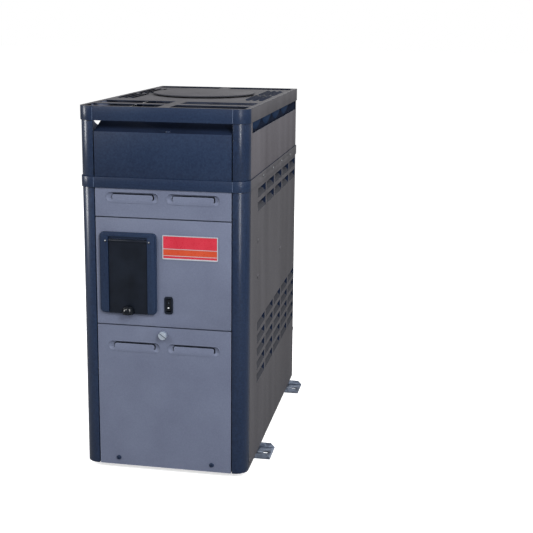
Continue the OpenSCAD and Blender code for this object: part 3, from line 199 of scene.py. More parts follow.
# Name, two colours, roughness, grain in mm, gloss; for some also the drift in mm and how it is drawn out.
navy_coat = powder_coat("baked_navy_powder", "#111d35", "#23334c", (0.32, 0.38), 4.0, 0.3, 240)
post_coat = powder_coat("satin_navy_powder", "#0c172b", "#21314c", (0.26, 0.34), 4.0, 0.36, 90, 0.1)
matte_coat = powder_coat("matte_navy_powder", "#1a2942", "#2a3c57", (0.75, 0.85), 3.0, 0.04)
# Painted reflection: the warm grey of the flat sides and top, paler on the hood sides, in upright bands.
reflection_coat = powder_coat("navy_powder_painted_reflection", "#48474b", "#605f63", (0.6, 0.7), 2.4, 0.12, 60, 0.1)
hood_reflection_coat = powder_coat("hood_powder_painted_reflection", "#524f54", "#6c6a6f", (0.6, 0.7), 2.4, 0.12, 60, 0.1)
# Painted shade and reflection: a dark dull grey for the louvre flaps and the flue disc's edge.
shade_and_reflection_coat = powder_coat("grey_powder_painted_shade_and_reflection", "#37383e", "#45464b", (0.75, 0.85), 2.4, 0.05)
# Painted shade: a darker, duller navy for hollows, ledges, bends and the dark sheets inside the jacket.
shade_coat = powder_coat("navy_powder_painted_shade", "#0e1626", "#172136", (0.75, 0.85), 2.4, 0.05)
grey_coat = powder_coat("baked_grey_powder", "#5a6074", "#666d81", (0.5, 0.6), 2.6, 0.2)
print("powder coats:", navy_coat.name, post_coat.name, reflection_coat.name, grey_coat.name)

# %% [markdown]
# ## Bare and plated metals
# The rails are hot-dip galvanised: the zinc freezes in flat crystals, each at its own slant, so they glint
# one by one. Voronoi cells give that spangle. Drawn and rolled metal shows fine streaks along the way it was
# worked, which a noise stretched in one direction gives. Castings keep the sand's grain.

# %% Metals
SPANGLE_MM, STREAK_MM, PATCH_MM, CAST_GRAIN_MM = 12, 1.5, 25, 1.8
ALONG_X, ALONG_Z = (0.08, 1, 1), (1, 1, 0.08)


def spangled_zinc(name, deep, pale):
    """Hot-dip galvanised sheet: flat crystals of slightly different brightness and gloss."""
    material, place = new_finish(name, {"Metallic": 0.8})
    tree = material.node_tree
    cells = add(tree, "ShaderNodeTexVoronoi", {"Vector": place, "Scale": 1 / (SPANGLE_MM * MM)})
    level = add(tree, "ShaderNodeSeparateColor", {0: cells.outputs["Color"]}).outputs[0]
    return wire(material, level, deep, pale, level, (0.34, 0.5), noise(place, 6), relief_mm=0.05)


def worked_metal(name, deep, pale, roughness, along=ALONG_Z, metallic=1.0):
    """Rolled, drawn, turned or plated metal: fine streaks along the way it was worked."""
    material, place = new_finish(name, {"Metallic": metallic})
    streaks = noise(stretched(place, along), STREAK_MM, detail=2.0)
    return wire(material, streaks, deep, pale, streaks, roughness, streaks, relief_mm=0.02)


def cast_metal(name, deep, pale, roughness, metallic=1.0):
    """Sand or die cast metal, or black iron pipe: an even, dull grain with darker patches."""
    material, place = new_finish(name, {"Metallic": metallic})
    patches = noise(place, PATCH_MM)
    return wire(material, patches, deep, pale, patches, roughness, noise(place, CAST_GRAIN_MM), 0.15)


zinc = worked_metal("bright_zinc", "#b2bfd0", "#ccd7e4", (0.28, 0.4), metallic=0.75)
mill_steel = worked_metal("rolled_steel", "#7f8286", "#96999d", (0.38, 0.5))
print("metals:", zinc.name, mill_steel.name)

# %% [markdown]
# ## Moulded plastics, rubber and the small electrical finishes
# The control cover is a moulded plastic with a fine spark-eroded texture, and its finger knob is polished.
# Both are one colour right through, so only the gloss and a very fine grain vary. The keypad's keys are
# moulded silicone, the pipe ends CPVC. The circuit board is glass fibre under a green solder mask.

# %% Plastics and boards
TINT_MM, TRACK_MM, STRAND_MM = 40, 6, 2.5


def moulded(name, deep, pale, roughness, relief_mm, grain_mm=1.2, gloss=0.3):
    """Moulded plastic or rubber: an even colour with a fine texture from the mould."""
    material, place = new_finish(name, {"IOR": 1.49, "Specular IOR Level": gloss})
    grain = noise(place, grain_mm)
    return wire(material, noise(place, TINT_MM), deep, pale, grain, roughness, grain, relief_mm)


def circuit_board(name):
    """Solder mask over copper tracks: square-cornered paths a shade lighter than the ground."""
    material, place = new_finish(name, {"IOR": COAT_IOR})
    bricks = {"Vector": place, "Scale": 1 / (TRACK_MM * MM)}
    tracks = add(material.node_tree, "ShaderNodeTexBrick", bricks).outputs["Fac"]
    return wire(material, tracks, "#1f4a33", "#3a6e50", noise(place, 3), (0.3, 0.45), tracks, 0.05)


def fibre_board(name):
    """Pressed ceramic fibre: chalky, with tangled strands."""
    material, place = new_finish(name, {"IOR": 1.45})
    strands = noise(stretched(place, (1, 0.3, 1)), STRAND_MM, detail=5.0)
    return wire(material, strands, "#c9c3b4", "#e2ddd0", strands, (0.85, 0.95), strands, relief_mm=0.4)


print("plastics and boards ready")

# %% [markdown]
# ## One finish for each slot of the record
# The record names a material slot for every node. The table below ties each slot to its finish, so no node
# can be forgotten.

# %% Finishes by slot
finish_of = {
    "navy_powder_coat": navy_coat,
    "grey_powder_coat": grey_coat,
    "galvanised_sheet": spangled_zinc("hot_dip_zinc", "#5e6777", "#767f8f"),
    "zinc_plate": zinc,
    "mill_steel": mill_steel,
    "black_plastic": moulded("moulded_abs", "#0e131c", "#171d28", (0.3, 0.42), 0.03, gloss=0.2),
    "gloss_black_plastic": moulded("polished_abs", "#080b10", "#0e131a", (0.08, 0.14), 0.004, 4.0),
    "grey_rubber": moulded("silicone_keys", "#626772", "#727783", (0.55, 0.7), 0.03),
    "display_window": moulded("tinted_acrylic", "#39483c", "#44543f", (0.05, 0.1), 0.002, 5.0),
    "badge_sheet": zinc,
    "circuit_board": circuit_board("solder_mask"),
    "black_pipe": cast_metal("black_iron_pipe", "#1d1d1f", "#2a2a2c", (0.45, 0.6), metallic=0.3),
    "cast_aluminium": cast_metal("die_cast_aluminium", "#989b9f", "#b0b3b6", (0.4, 0.52)),
    "copper": worked_metal("drawn_copper", "#a5623c", "#c07d55", (0.25, 0.4), ALONG_X),
    "bronze": cast_metal("cast_bronze", "#86683f", "#a0824f", (0.4, 0.55)),
    "brass": worked_metal("turned_brass", "#a98b47", "#c6a862", (0.25, 0.38)),
    "gasket_rubber": moulded("pressed_gasket", "#161616", "#202020", (0.7, 0.85), 0.08, 2.0),
    "refractory_board": fibre_board("ceramic_fibre_board"),
    "cpvc": moulded("moulded_cpvc", "#25282c", "#303338", (0.35, 0.5), 0.03, 3.0),
}
for node, thing in nodes.items():
    thing.data.materials.clear()
    thing.data.materials.append(finish_of[slot_of[node]])
print("dressed", len(nodes), "nodes")

# %% [markdown]
# ## Softened edges
# No real edge is perfectly sharp: paint pools on it, and moulds have radii. A CAD node's own mesh must stay
# as it is, so a copy is made. Its loose triangles are merged and flat faces dissolved, and then the Bevel
# modifier rounds only the edges that turn by more than 30 degrees. Sheet gets a hair's breadth, mouldings
# more. The helpers that all pieces share come first.

# %% Helpers for pieces
SHARP = math.radians(30)
FLAT = math.radians(1)
WELD = 0.002 * MM
LEVEL, SLANT = 0.995, 0.2


def link(name, data):
    """A new object at the origin, in the scene."""
    piece = bpy.data.objects.new(name, data)
    bpy.context.scene.collection.objects.link(piece)
    return piece


def shaped(name, bm, *materials):
    """A bmesh as a new object with its materials. The bmesh is used up."""
    mesh = bpy.data.meshes.new(name)
    bm.to_mesh(mesh)
    bm.free()
    for material in materials:
        mesh.materials.append(material)
    return link(name, mesh)


def tell(*pieces):
    """Prints what was made."""
    for piece in pieces:
        print(piece.name, "faces:", len(piece.data.polygons))


def pour(bm, parts):
    """Adds other bmeshes to one, which uses them up."""
    mesh = bpy.data.meshes.new("part")
    for part in parts:
        part.to_mesh(mesh)
        part.free()
        bm.from_mesh(mesh)
    return bm


def merged(node):
    """A node's mesh as a bmesh, with its loose triangles joined."""
    bm = bmesh.new()
    bm.from_mesh(nodes[node].data)
    bmesh.ops.remove_doubles(bm, verts=bm.verts, dist=WELD)
    return bm


def flatten(bm):
    """Dissolves the edges and points that lie in a flat face."""
    bmesh.ops.dissolve_limit(bm, angle_limit=FLAT, verts=bm.verts, edges=bm.edges)


def settle(piece):
    """Turns what the modifiers show into the piece's own mesh, and takes them off."""
    bpy.context.view_layer.update()
    seen = piece.evaluated_get(bpy.context.evaluated_depsgraph_get())
    mesh = bpy.data.meshes.new_from_object(seen)
    piece.modifiers.clear()
    piece.data = mesh
    return piece


def smooth(piece):
    """Smooth shading that breaks at the sharp edges."""
    piece.data.shade_smooth()
    piece.data.set_sharp_from_angle(angle=SHARP)
    return piece


def paint(piece, coat, chosen):
    """Gives another coat to the faces for which chosen is true."""
    piece.data.materials.append(coat)
    for face in piece.data.polygons:
        if chosen(face):
            face.material_index = len(piece.data.materials) - 1


def recoat(piece, **coats):
    """Gives faces another coat by the way they look: side, up, slant, front, or any other."""
    index = {}
    for way, coat in coats.items():
        index[way] = len(piece.data.materials)
        piece.data.materials.append(coat)
    for face in piece.data.polygons:
        x, z = abs(face.normal.x), face.normal.z
        way = "side" if x > LEVEL else "up" if z > LEVEL else "slant" if abs(z) > SLANT else "other"
        if way == "other" and face.normal.y < -LEVEL and "front" in coats:
            way = "front"
        face.material_index = index.get(way, face.material_index)
    return piece


def attach(piece, node):
    """The piece rides on the node's body and takes its slot."""
    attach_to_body(piece, body_of[node])
    return piece


def dress(piece, node):
    """The piece also stands for the node."""
    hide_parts(node)
    return attach(piece, node)


print("piece helpers ready")

# %% Softened copies
SHEET_EDGE_MM, MOULD_EDGE_MM = 0.35, 1.0
STUD_SLOT_MM, FACING = (1, 4), 0.9


def soften(node, edge_mm, leave_out=None):
    """Replaces a node by a copy with rounded edges. Points that leave_out names are taken off."""
    bm = merged(node)
    if leave_out:
        bmesh.ops.delete(bm, geom=[v for v in bm.verts if leave_out(v.co)], context="VERTS")
    flatten(bm)
    piece = shaped(node + "_soft", bm, finish_of[slot_of[node]])
    bevel = piece.modifiers.new("edge", "BEVEL")
    bevel.width = edge_mm * MM
    bevel.segments = 2
    bevel.limit_method = "ANGLE"
    bevel.angle_limit = SHARP
    return dress(smooth(settle(piece)), node)


sheet_nodes = ["corner_posts", "control_panel", "jacket_top", "hood_posts", "hood_side_panels",
               "rear_hood_panel", "rear_panel", "front_deflector", "top_cap", "flue_cover_disc",
               "anchor_rails"]
mould_nodes = ["control_bezel", "control_cover", "rocker_housing", "mode_button", "up_button", "down_button",
               "menu_button"]
# Painted light by facing: reflection on flat sides and tops, shade on ledges and bends, pale grey light in
# the hood.
painted_light_coats = {
    "jacket_top": {"side": reflection_coat, "up": shade_coat},
    "hood_side_panels": {"side": hood_reflection_coat},
    "top_cap": {"side": reflection_coat, "up": reflection_coat, "slant": shade_coat},
    "flue_cover_disc": {"up": reflection_coat, "side": shade_and_reflection_coat, "slant": shade_and_reflection_coat, "other": shade_and_reflection_coat},
    "front_deflector": {"up": shade_coat, "slant": shade_coat},
    "rear_hood_panel": {"front": grey_coat},
}
for node in sheet_nodes:
    piece = recoat(soften(node, SHEET_EDGE_MM), **painted_light_coats.get(node, {}))
    if node in ("corner_posts", "hood_posts"):
        piece.data.materials[0] = post_coat
for node in mould_nodes:
    soften(node, MOULD_EDGE_MM)
stud = soften("access_stud", SHEET_EDGE_MM)
# The floor of the slot in the stud's head is painted dark, as painted shade.
slot_from, slot_to = (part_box("access_stud")[0].y + deep * MM for deep in STUD_SLOT_MM)
paint(stud, shade_coat, lambda face: face.normal.y < -FACING and slot_from < face.center.y < slot_to)
print("softened", len(sheet_nodes) + len(mould_nodes) + 1, "nodes")

# %% [markdown]
# ## Helpers for Geometry Nodes
# A louvre or a screw is modelled once and repeated by a rule. The rule is a node tree with named inputs, so
# the counts and spacings can be changed without touching a mesh. start_tree begins one, close_tree ends it,
# and use_tree puts it on a piece and sets the inputs.


# %% Helpers for Geometry Nodes
def start_tree(name, **inputs):
    """A new tree with the named inputs, and the sockets that bring them in."""
    tree = bpy.data.node_groups.new(name, "GeometryNodeTree")
    tree.interface.new_socket("Geometry", in_out="OUTPUT", socket_type="NodeSocketGeometry")
    for label, kind in {"Geometry": "Geometry", **inputs}.items():
        tree.interface.new_socket(label, in_out="INPUT", socket_type="NodeSocket" + kind)
    return tree, add(tree, "NodeGroupInput").outputs


def copies(points, instance, **turned):
    """Real copies of a shape on every point."""
    tree = points.id_data
    placed = add(tree, "GeometryNodeInstanceOnPoints", {"Points": points, "Instance": instance, **turned})
    return add(tree, "GeometryNodeRealizeInstances", {"Geometry": placed.outputs[0]}).outputs[0]


def shape_of(thing):
    """The mesh of an object that comes in as an input."""
    return add(thing.id_data, "GeometryNodeObjectInfo", {"Object": thing}).outputs["Geometry"]


def joined(*parts):
    """Several geometries as one."""
    tree = parts[0].id_data
    join = add(tree, "GeometryNodeJoinGeometry")
    for part in parts:
        tree.links.new(part, join.inputs[0])
    return join.outputs[0]


def close_tree(geometry, material):
    """Gives the result its material and sends it out."""
    tree = geometry.id_data
    painted = add(tree, "GeometryNodeSetMaterial", {"Geometry": geometry, "Material": material})
    add(tree, "NodeGroupOutput", {0: painted.outputs[0]})


def use_tree(piece, tree, **values):
    """Puts a tree on a piece. Inputs are set by their identifiers, before the first evaluation."""
    modifier = piece.modifiers.new(tree.name, "NODES")
    modifier.node_group = tree
    for item in tree.interface.items_tree:
        if item.in_out == "INPUT" and item.name in values:
            modifier[item.identifier] = values[item.name]


def drop(*things):
    """Removes helper objects once their shape has been used."""
    for thing in things:
        bpy.data.objects.remove(thing)


print("geometry helpers ready")

# %% [markdown]
# ## Louvred sides
# Each side of the jacket is one flat sheet. A press cuts a slit along the upper edge of every louvre and
# pushes the metal below it inwards, so the flap stays joined at its lower edge and at both ends. One flap is
# made from a small grid of points; a tree then lays out a field of places, cuts an opening at each and sets
# a flap in it. A sheet has a low field and a high one.

# %% One louvre flap
SHEET_MM = 1.2
LOUVRE_MM, LOUVRE_IN_MM = (98, 21.5), 14
FLAP_RISE, FLAP_BOW, FLAP_STEPS = 0.7, 0.5, 7
END_MM, END_STEPS = 5.5, 5


def ease(t):
    """A smooth step from 0 to 1."""
    t = min(max(t, 0), 1)
    return t * t * (3 - 2 * t)


def shares(steps):
    """Even steps from 0 to 1."""
    return [k / steps for k in range(steps + 1)]


def thick_grid(rows, thickness_mm):
    """A sheet through rows of points (mm), thickened."""
    bm = bmesh.new()
    net = [[bm.verts.new(Vector(p) * MM) for p in row] for row in rows]
    for a, b in zip(net, net[1:]):
        for i in range(len(a) - 1):
            bm.faces.new((a[i], a[i + 1], b[i + 1], b[i]))
    bm.normal_update()
    bmesh.ops.solidify(bm, geom=list(bm.faces), thickness=thickness_mm * MM)
    bmesh.ops.recalc_face_normals(bm, faces=list(bm.faces))
    return bm


def make_flap(side):
    """The flap for one side of the jacket, about the middle of its opening."""
    length, height = LOUVRE_MM
    ends = [END_MM * t for t in shares(END_STEPS)]
    rows = []
    for y in ends + [length / 2] + [length - e for e in reversed(ends)]:
        inward = ease(min(y, length - y) / END_MM)
        tall = height * (1 - inward + inward * FLAP_RISE)
        row = []
        for v in shares(FLAP_STEPS):
            deep = LOUVRE_IN_MM * inward * v * (1 + FLAP_BOW * (1 - v))
            row.append((side * (SHEET_MM / 2 - deep), y - length / 2, v * tall - height / 2))
        rows.append(row)
    flap = shaped("flap", thick_grid(rows, -SHEET_MM * side))
    flap.data.shade_smooth()
    return flap


flaps = {side: make_flap(side) for side in (-1, 1)}
tell(*flaps.values())


# %% The rule for the fields of louvres
def grid_of_places(given, field):
    """Points in rows and columns on the sheet, from the field's first place."""
    tree = given["Geometry"].id_data
    counts = (given["Columns"], given[field + "Rows"])
    wide, tall = (calculate("MULTIPLY", calculate("SUBTRACT", count, 1.0), given[pitch])
                  for count, pitch in zip(counts, ("ColumnPitch", "RowPitch")))
    grid = add(tree, "GeometryNodeMeshGrid", enumerate((wide, tall, *counts))).outputs[0]
    whole = add(tree, "ShaderNodeCombineXYZ", {1: wide, 2: tall}).outputs[0]
    middle = add(tree, "ShaderNodeVectorMath", {0: whole, 1: (0.5, 0.5, 0.5), 2: given[field + "First"]},
                 operation="MULTIPLY_ADD").outputs[0]
    return add(tree, "GeometryNodeTransform", {"Geometry": grid, "Translation": middle,
                                               "Rotation": (math.pi / 2, 0, math.pi / 2)}).outputs[0]


field_tree, given = start_tree("louvre_fields", Flap="Object", Opening="Vector", LowFirst="Vector",
                               LowRows="Int", HighFirst="Vector", HighRows="Int", Columns="Int",
                               ColumnPitch="Float", RowPitch="Float", Material="Material")
places = joined(grid_of_places(given, "Low"), grid_of_places(given, "High"))
block = add(field_tree, "GeometryNodeMeshCube", {"Size": given["Opening"]}).outputs[0]
meshes = {"Mesh 1": given["Geometry"], "Mesh 2": copies(places, block)}
cut = add(field_tree, "GeometryNodeMeshBoolean", meshes, operation="DIFFERENCE", solver="EXACT").outputs[0]
close_tree(joined(cut, copies(places, shape_of(given["Flap"]))), given["Material"])
print("tree:", field_tree.name, len(field_tree.nodes), "nodes")

# %% [markdown]
# ## The two side sheets
# The right sheet is plain apart from its louvres. The left one also has four round holes, for the two water
# unions, the relief valve and the gas pipe, which are cut first.

# %% Side sheets
COLUMNS, FIRST_COLUMN_MM, COLUMN_PITCH_MM = 5, -209.5, 113.5
FIELD_ROWS, FIELD_Z_MM, ROW_PITCH_MM = (5, 2), (198.75, 609.45), 31.8
PIPE_HOLES_MM = ((95.6, 424.2, 47.25), (-114.4, 424.2, 47.25), (-9.4, 424.2, 15), (-312, 161.2, 15.35))
HOLE_CUT_MM, LOUVRE_CUT_MM, HOLE_STEPS = 20, 10, 96


def boxed(name, low, high, *materials):
    """A plain block between two corners (m)."""
    bm = bmesh.new()
    place = Matrix.Translation((low + high) / 2) @ Matrix.Diagonal((*(high - low), 1))
    bmesh.ops.create_cube(bm, size=1, matrix=place)
    return shaped(name, bm, *materials)


def pipe_cutters(x):
    """Cylinders across the sheet, one for each pipe."""
    bm = bmesh.new()
    for y, z, r in PIPE_HOLES_MM:
        lie = Matrix.Translation((x, y * MM, z * MM)) @ Matrix.Rotation(math.pi / 2, 4, "Y")
        bmesh.ops.create_cone(bm, cap_ends=True, segments=HOLE_STEPS, radius1=r * MM, radius2=r * MM,
                              depth=HOLE_CUT_MM * MM, matrix=lie)
    return shaped("pipe_cutters", bm)


def cut_away(piece, *cutters):
    """Takes the cutters' shapes out of a piece, and removes the cutters."""
    for cutter in cutters:
        cut = piece.modifiers.new("cut", "BOOLEAN")
        cut.object = cutter
        cut.solver = "EXACT"
    settle(piece)
    drop(*cutters)
    return piece


for node, side in (("left_side_panel", -1), ("right_side_panel", 1)):
    low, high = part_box(node)
    outer = high.x if side > 0 else low.x
    inner = outer - side * SHEET_MM * MM
    sheet = boxed(node + "_louvred", Vector((min(inner, outer), low.y, low.z)),
                  Vector((max(inner, outer), high.y, high.z)))
    if side < 0:
        cut_away(sheet, pipe_cutters(outer))
    low_first, high_first = (((inner + outer) / 2, FIRST_COLUMN_MM * MM, z * MM) for z in FIELD_Z_MM)
    use_tree(sheet, field_tree, Flap=flaps[side], Columns=COLUMNS, Material=navy_coat,
             Opening=(LOUVRE_CUT_MM * MM, LOUVRE_MM[0] * MM, LOUVRE_MM[1] * MM),
             LowFirst=low_first, LowRows=FIELD_ROWS[0], HighFirst=high_first, HighRows=FIELD_ROWS[1],
             ColumnPitch=COLUMN_PITCH_MM * MM, RowPitch=ROW_PITCH_MM * MM)
    # Painted light on the sheets: warm grey reflection on the flat faces, shade in the louvre hollows and on
    # the flaps.
    recoat(smooth(settle(sheet)), side=reflection_coat, up=shade_coat, slant=shade_and_reflection_coat, other=shade_coat)
    tell(dress(sheet, node))
drop(*flaps.values())

# %% [markdown]
# ## Dark shields behind the upper louvres
# Above the fire box the jacket is nearly empty, and one could look in at one side and out at the other. A
# heater has a plain sheet there, which keeps the jacket cool and the rain off the hot flue collector. Two
# thin plates do. They take the dark coat and stand in for the shade inside the jacket, as painted shade.

# %% Dark shields
SHIELD_X_MM, SHIELD_Y_MM, SHIELD_Z_MM = 165, (-280.5, 300.5), (585, 660)

for where, side in (("left", -1), ("right", 1)):
    faces = sorted((side * SHIELD_X_MM, side * (SHIELD_X_MM - SHEET_MM)))
    low, high = (Vector(corner) * MM for corner in zip(faces, SHIELD_Y_MM, SHIELD_Z_MM))
    # The plates are dark sheets of painted shade.
    shield = boxed(where + "_heat_shield", low, high, shade_coat)
    attach(shield, where + "_side_panel")
    tell(shield)

# %% [markdown]
# ## Hoods of the half-moon openings
# Air leaves through half-moon openings in the plates behind the side slots. A shallow pressed hood before
# each keeps the rain out: it rises from the round edge and is open along the top. It is a grid of points
# between the arc and the straight lip, bulging outwards. The front opening on the left has none, because
# daylight shows through it. The plate's inward rims, which the hoods hide, are left out of its copy. The
# plate is dark, as painted shade, and a dark screen of painted shade, bent outwards from the plate to the
# side panel, closes the rear end of each slot. On the side that looks into the hood, plates and screens are
# painted pale grey, as painted light where light falls in between the cap's bars.

# %% Half-moon hoods
MOON_R_MM, MOON_LOW_MM, LIP_Z_MM = 90, 786.1, 809
MOON_Y_MM = [-248 + 131 * k for k in range(4)]
PLATE_X_MM, BULGE_MM = 182.4, 5.3
HOOD_END_MM, HOOD_SHEET_MM = 0.4, 0.8
RIM_X_MM = 181
ARC_STEPS, BULGE_STEPS = 24, 6


def gathered(name, sheets, coat):
    """Several sheets as one piece that rides with the plates."""
    return attach(smooth(shaped(name, pour(bmesh.new(), sheets), coat)), "hood_baffles")


def hood_rows(side, y):
    """Rows of points for one hood, from the front end of the arc to the rear one."""
    tallest = LIP_Z_MM - MOON_LOW_MM
    half = math.acos(1 - (tallest - HOOD_END_MM) / MOON_R_MM)
    for t in shares(ARC_STEPS):
        a = half * (2 * t - 1)
        foot = MOON_LOW_MM + MOON_R_MM * (1 - math.cos(a))
        rise = LIP_Z_MM - foot
        reach = BULGE_MM * math.sqrt(rise / tallest)
        across = y + MOON_R_MM * math.sin(a)
        yield [(side * (PLATE_X_MM + reach * (1 - (1 - v) ** 2)), across, foot + rise * v)
               for v in shares(BULGE_STEPS)]


baffles = soften("hood_baffles", SHEET_EDGE_MM, lambda at: abs(at.x) < RIM_X_MM * MM)
# The plate takes the dark coat of painted shade.
baffles.data.materials[0] = shade_coat
hoods = gathered("half_moon_hoods", [thick_grid(list(hood_rows(side, y)), -side * HOOD_SHEET_MM)
                                     for side, openings in ((-1, MOON_Y_MM[1:]), (1, MOON_Y_MM))
                                     for y in openings], matte_coat)
tell(baffles, hoods)

# %% Slot screens
SCREEN_Y_MM, SCREEN_Z_MM = (208, 298), (688, 838)
SCREEN_X_MM, SCREEN_BEND_MM, SCREEN_STEPS = 181.9, 6, 10

y0, y1 = SCREEN_Y_MM
# The screens are dark sheets of painted shade.
screens = gathered("slot_screens", [
    thick_grid([[(side * (SCREEN_X_MM + SCREEN_BEND_MM * ease(t)), y0 + (y1 - y0) * t, z)
                 for t in shares(SCREEN_STEPS)] for z in SCREEN_Z_MM], SHEET_MM)
    for side in (-1, 1)], shade_coat)
# Painted light: the faces that look into the hood get the pale grey coat.
for piece in (baffles, screens):
    paint(piece, grey_coat, lambda face: face.normal.x * face.center.x < 0)
tell(screens)

# %% [markdown]
# ## Finger louvres in the front panels
# The two dishes that a hand takes hold of are pressed in after a slit has been cut round their upper edge.
# The metal slopes in from the ends and the top, and stays level with the panel at the bottom, where the flat
# tongue in the middle joins it. The CAD dish is taken out of a copy of the panel, and rings of points are
# laid from the edge that is left towards the middle, each a bit further in and deeper. The last one is the
# tongue's edge, and the slit is left open before it.

# %% Finger louvres
DISH_X_MM, DISH_Z_MM = 69, {"access_panel": 299, "upper_front_panel": 641}
DISH_REACH_MM, BEHIND_MM = (65, 16), 3
DISH_DEEP_MM, TONGUE_DEEP_MM, DISH_SHEET_MM = 5.2, 2.2, 0.96
RIM_MM, SLIT_MM = (6.5, 4.0), 2.3
END_SHARE = 0.11
SLIT_FROM = -0.75
LEVEL_FROM, LEVEL_OVER = -0.97, 0.6
RINGS = ((0, 0), (0.06, 0.06), (0.16, 0.26), (0.3, 0.52), (0.48, 0.76), (0.72, 0.94), (1, 1))
IN_PLANE_MM, LOOP_STEP_MM = 0.05, 3


def edge_loops(bm, y):
    """The open edges in the plane at y, as closed rows of points."""
    near = IN_PLANE_MM * MM
    left = {e for e in bm.edges if e.is_boundary and all(abs(v.co.y - y) < near for v in e.verts)}
    while left:
        edge = left.pop()
        start, here = edge.verts
        loop = [start.co.copy()]
        while here != start:
            loop.append(here.co.copy())
            edge = next(e for e in here.link_edges if e in left)
            left.discard(edge)
            here = edge.other_vert(here)
        yield loop


def finer(loop, step):
    """The same loop with its long sides divided."""
    dense = []
    for a, b in zip(loop, loop[1:] + loop[:1]):
        parts = max(1, round((b - a).length / step))
        dense += [a.lerp(b, k / parts) for k in range(parts)]
    return dense


def make_dish(loop):
    """A pressed dish inside a round-ended loop, thickened."""
    xs, zs = [p.x for p in loop], [p.z for p in loop]
    middle = Vector(((min(xs) + max(xs)) / 2, loop[0].y, (min(zs) + max(zs)) / 2))
    r = (max(zs) - min(zs)) / 2
    straight = (max(xs) - min(xs)) / 2 - r
    bm = bmesh.new()
    rings = []
    slopes = [(inward, 0, DISH_DEEP_MM * share) for inward, share in RINGS]
    for inward, slit_mm, deep_mm in slopes + [(1, SLIT_MM, TONGUE_DEEP_MM)]:
        ring = []
        for p in loop:
            across = p - middle
            core = min(max(across.x, -straight), straight)
            out = Vector(((across.x - core) / r, 0, across.z / r))
            x = core * (1 - END_SHARE * inward) + out.x * (r - (RIM_MM[0] * inward + slit_mm) * MM)
            z = out.z * (r - (RIM_MM[1] * inward + slit_mm) * MM)
            y = deep_mm * MM * ease((out.z - LEVEL_FROM) / LEVEL_OVER)
            ring.append(bm.verts.new(middle + Vector((x, y, z))))
        rings.append(ring)
    for level, (a, b) in enumerate(zip(rings, rings[1:])):
        for i in range(len(loop)):
            height = (loop[i - 1].z + loop[i].z) / 2 - middle.z
            if level < len(RINGS) - 1 or height <= r * SLIT_FROM:
                bm.faces.new((a[i - 1], a[i], b[i], b[i - 1]))
    bm.faces.new(rings[-1])
    bmesh.ops.recalc_face_normals(bm, faces=list(bm.faces))
    if sum(f.normal.y for f in bm.faces) > 0:
        bmesh.ops.reverse_faces(bm, faces=list(bm.faces))
    bmesh.ops.solidify(bm, geom=list(bm.faces), thickness=-DISH_SHEET_MM * MM)
    return bm


for node, height in DISH_Z_MM.items():
    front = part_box(node)[0].y
    bm = merged(node)
    flatten(bm)
    deep = [v for v in bm.verts if v.co.y > front + BEHIND_MM * MM
            and abs(abs(v.co.x) - DISH_X_MM * MM) < DISH_REACH_MM[0] * MM
            and abs(v.co.z - height * MM) < DISH_REACH_MM[1] * MM]
    bmesh.ops.delete(bm, geom=deep, context="VERTS")
    pour(bm, [make_dish(finer(loop, LOOP_STEP_MM * MM)) for loop in edge_loops(bm, front)])
    panel = smooth(shaped(node + "_pressed", bm, finish_of[slot_of[node]]))
    tell(dress(panel, node))

# %% [markdown]
# ## Screws and rivets
# The sheets are held by pan-head screws with a cross recess, and the collar by plain domed rivets. Both are
# turned shapes, so a profile is spun round an axis. The recess is cut with two crossed blocks. The places
# come from the CAD solids: the middle of each, the way its head faces and the plane it sits on. A second tree
# puts one screw on every place and turns it to face outwards. Only the deflector's screw sits as high as the
# hood, and it is navy like the deflector.

# %% One screw and one rivet
SCREW_HEAD_MM, RIVET_HEAD_MM = (5.5, 3.0), (4.0, 1.6)
SHANK_MM = (2.1, 7.5)
RECESS_MM = ((1.3, 6, 3), (6, 1.3, 3))
RIM_SHARE, DOME_STEPS, TURN_STEPS = 0.4, 8, 32


def spun(name, profile):
    """A turned shape from (radius, height) points in mm."""
    bm = bmesh.new()
    line = [bm.verts.new((r * MM, 0, z * MM)) for r, z in profile]
    edges = [bm.edges.new(pair) for pair in zip(line, line[1:])]
    bmesh.ops.spin(bm, geom=line + edges, cent=(0, 0, 0), axis=(0, 0, 1), angle=2 * math.pi, steps=TURN_STEPS)
    bmesh.ops.remove_doubles(bm, verts=bm.verts, dist=WELD)
    bmesh.ops.recalc_face_normals(bm, faces=list(bm.faces))
    return shaped(name, bm)


def head_profile(radius, height):
    """Shank, flat underside, short rim and dome."""
    rim = RIM_SHARE * height
    dome = [(radius * math.cos(a), rim + (height - rim) * math.sin(a))
            for a in (math.pi / 2 * t for t in shares(DOME_STEPS)[:-1])]
    shank, deep = SHANK_MM
    return [(0, -deep), (shank, -deep), (shank, 0), (radius, 0), *dome, (0, height)]


top = Vector((0, 0, SCREW_HEAD_MM[1] * MM))
halves = [Vector(size) * MM / 2 for size in RECESS_MM]
arms = [boxed("arm", top - half, top + half) for half in halves]
screw = cut_away(spun("screw", head_profile(*SCREW_HEAD_MM)), *arms)
rivet = spun("rivet", head_profile(*RIVET_HEAD_MM))
tell(screw, rivet)


# %% Their places
RIM_RADIUS = 0.95
HOOD_LOW_MM = 700


def solids(bm):
    """The separate solids of a mesh, each as an array of points."""
    left = set(bm.verts)
    while left:
        found, edge = [], [left.pop()]
        while edge:
            vert = edge.pop()
            found.append(vert.co[:])
            for other in (e.other_vert(vert) for e in vert.link_edges):
                if other in left:
                    left.discard(other)
                    edge.append(other)
        yield np.array(found)


def seat_of(points):
    """Where a screw's head rests, and the way it faces."""
    middle = (points.min(0) + points.max(0)) / 2
    axis = int(np.argmax(np.abs(points.mean(0) - middle)))
    along = points[:, axis] - middle[axis]
    radius = np.linalg.norm(np.delete(points - middle, axis, 1), axis=1)
    rim = along[radius > RIM_RADIUS * radius.max()]
    way = np.sign(rim.mean())
    facing = np.eye(3)[axis] * way
    return middle + facing * (rim * way).min(), facing


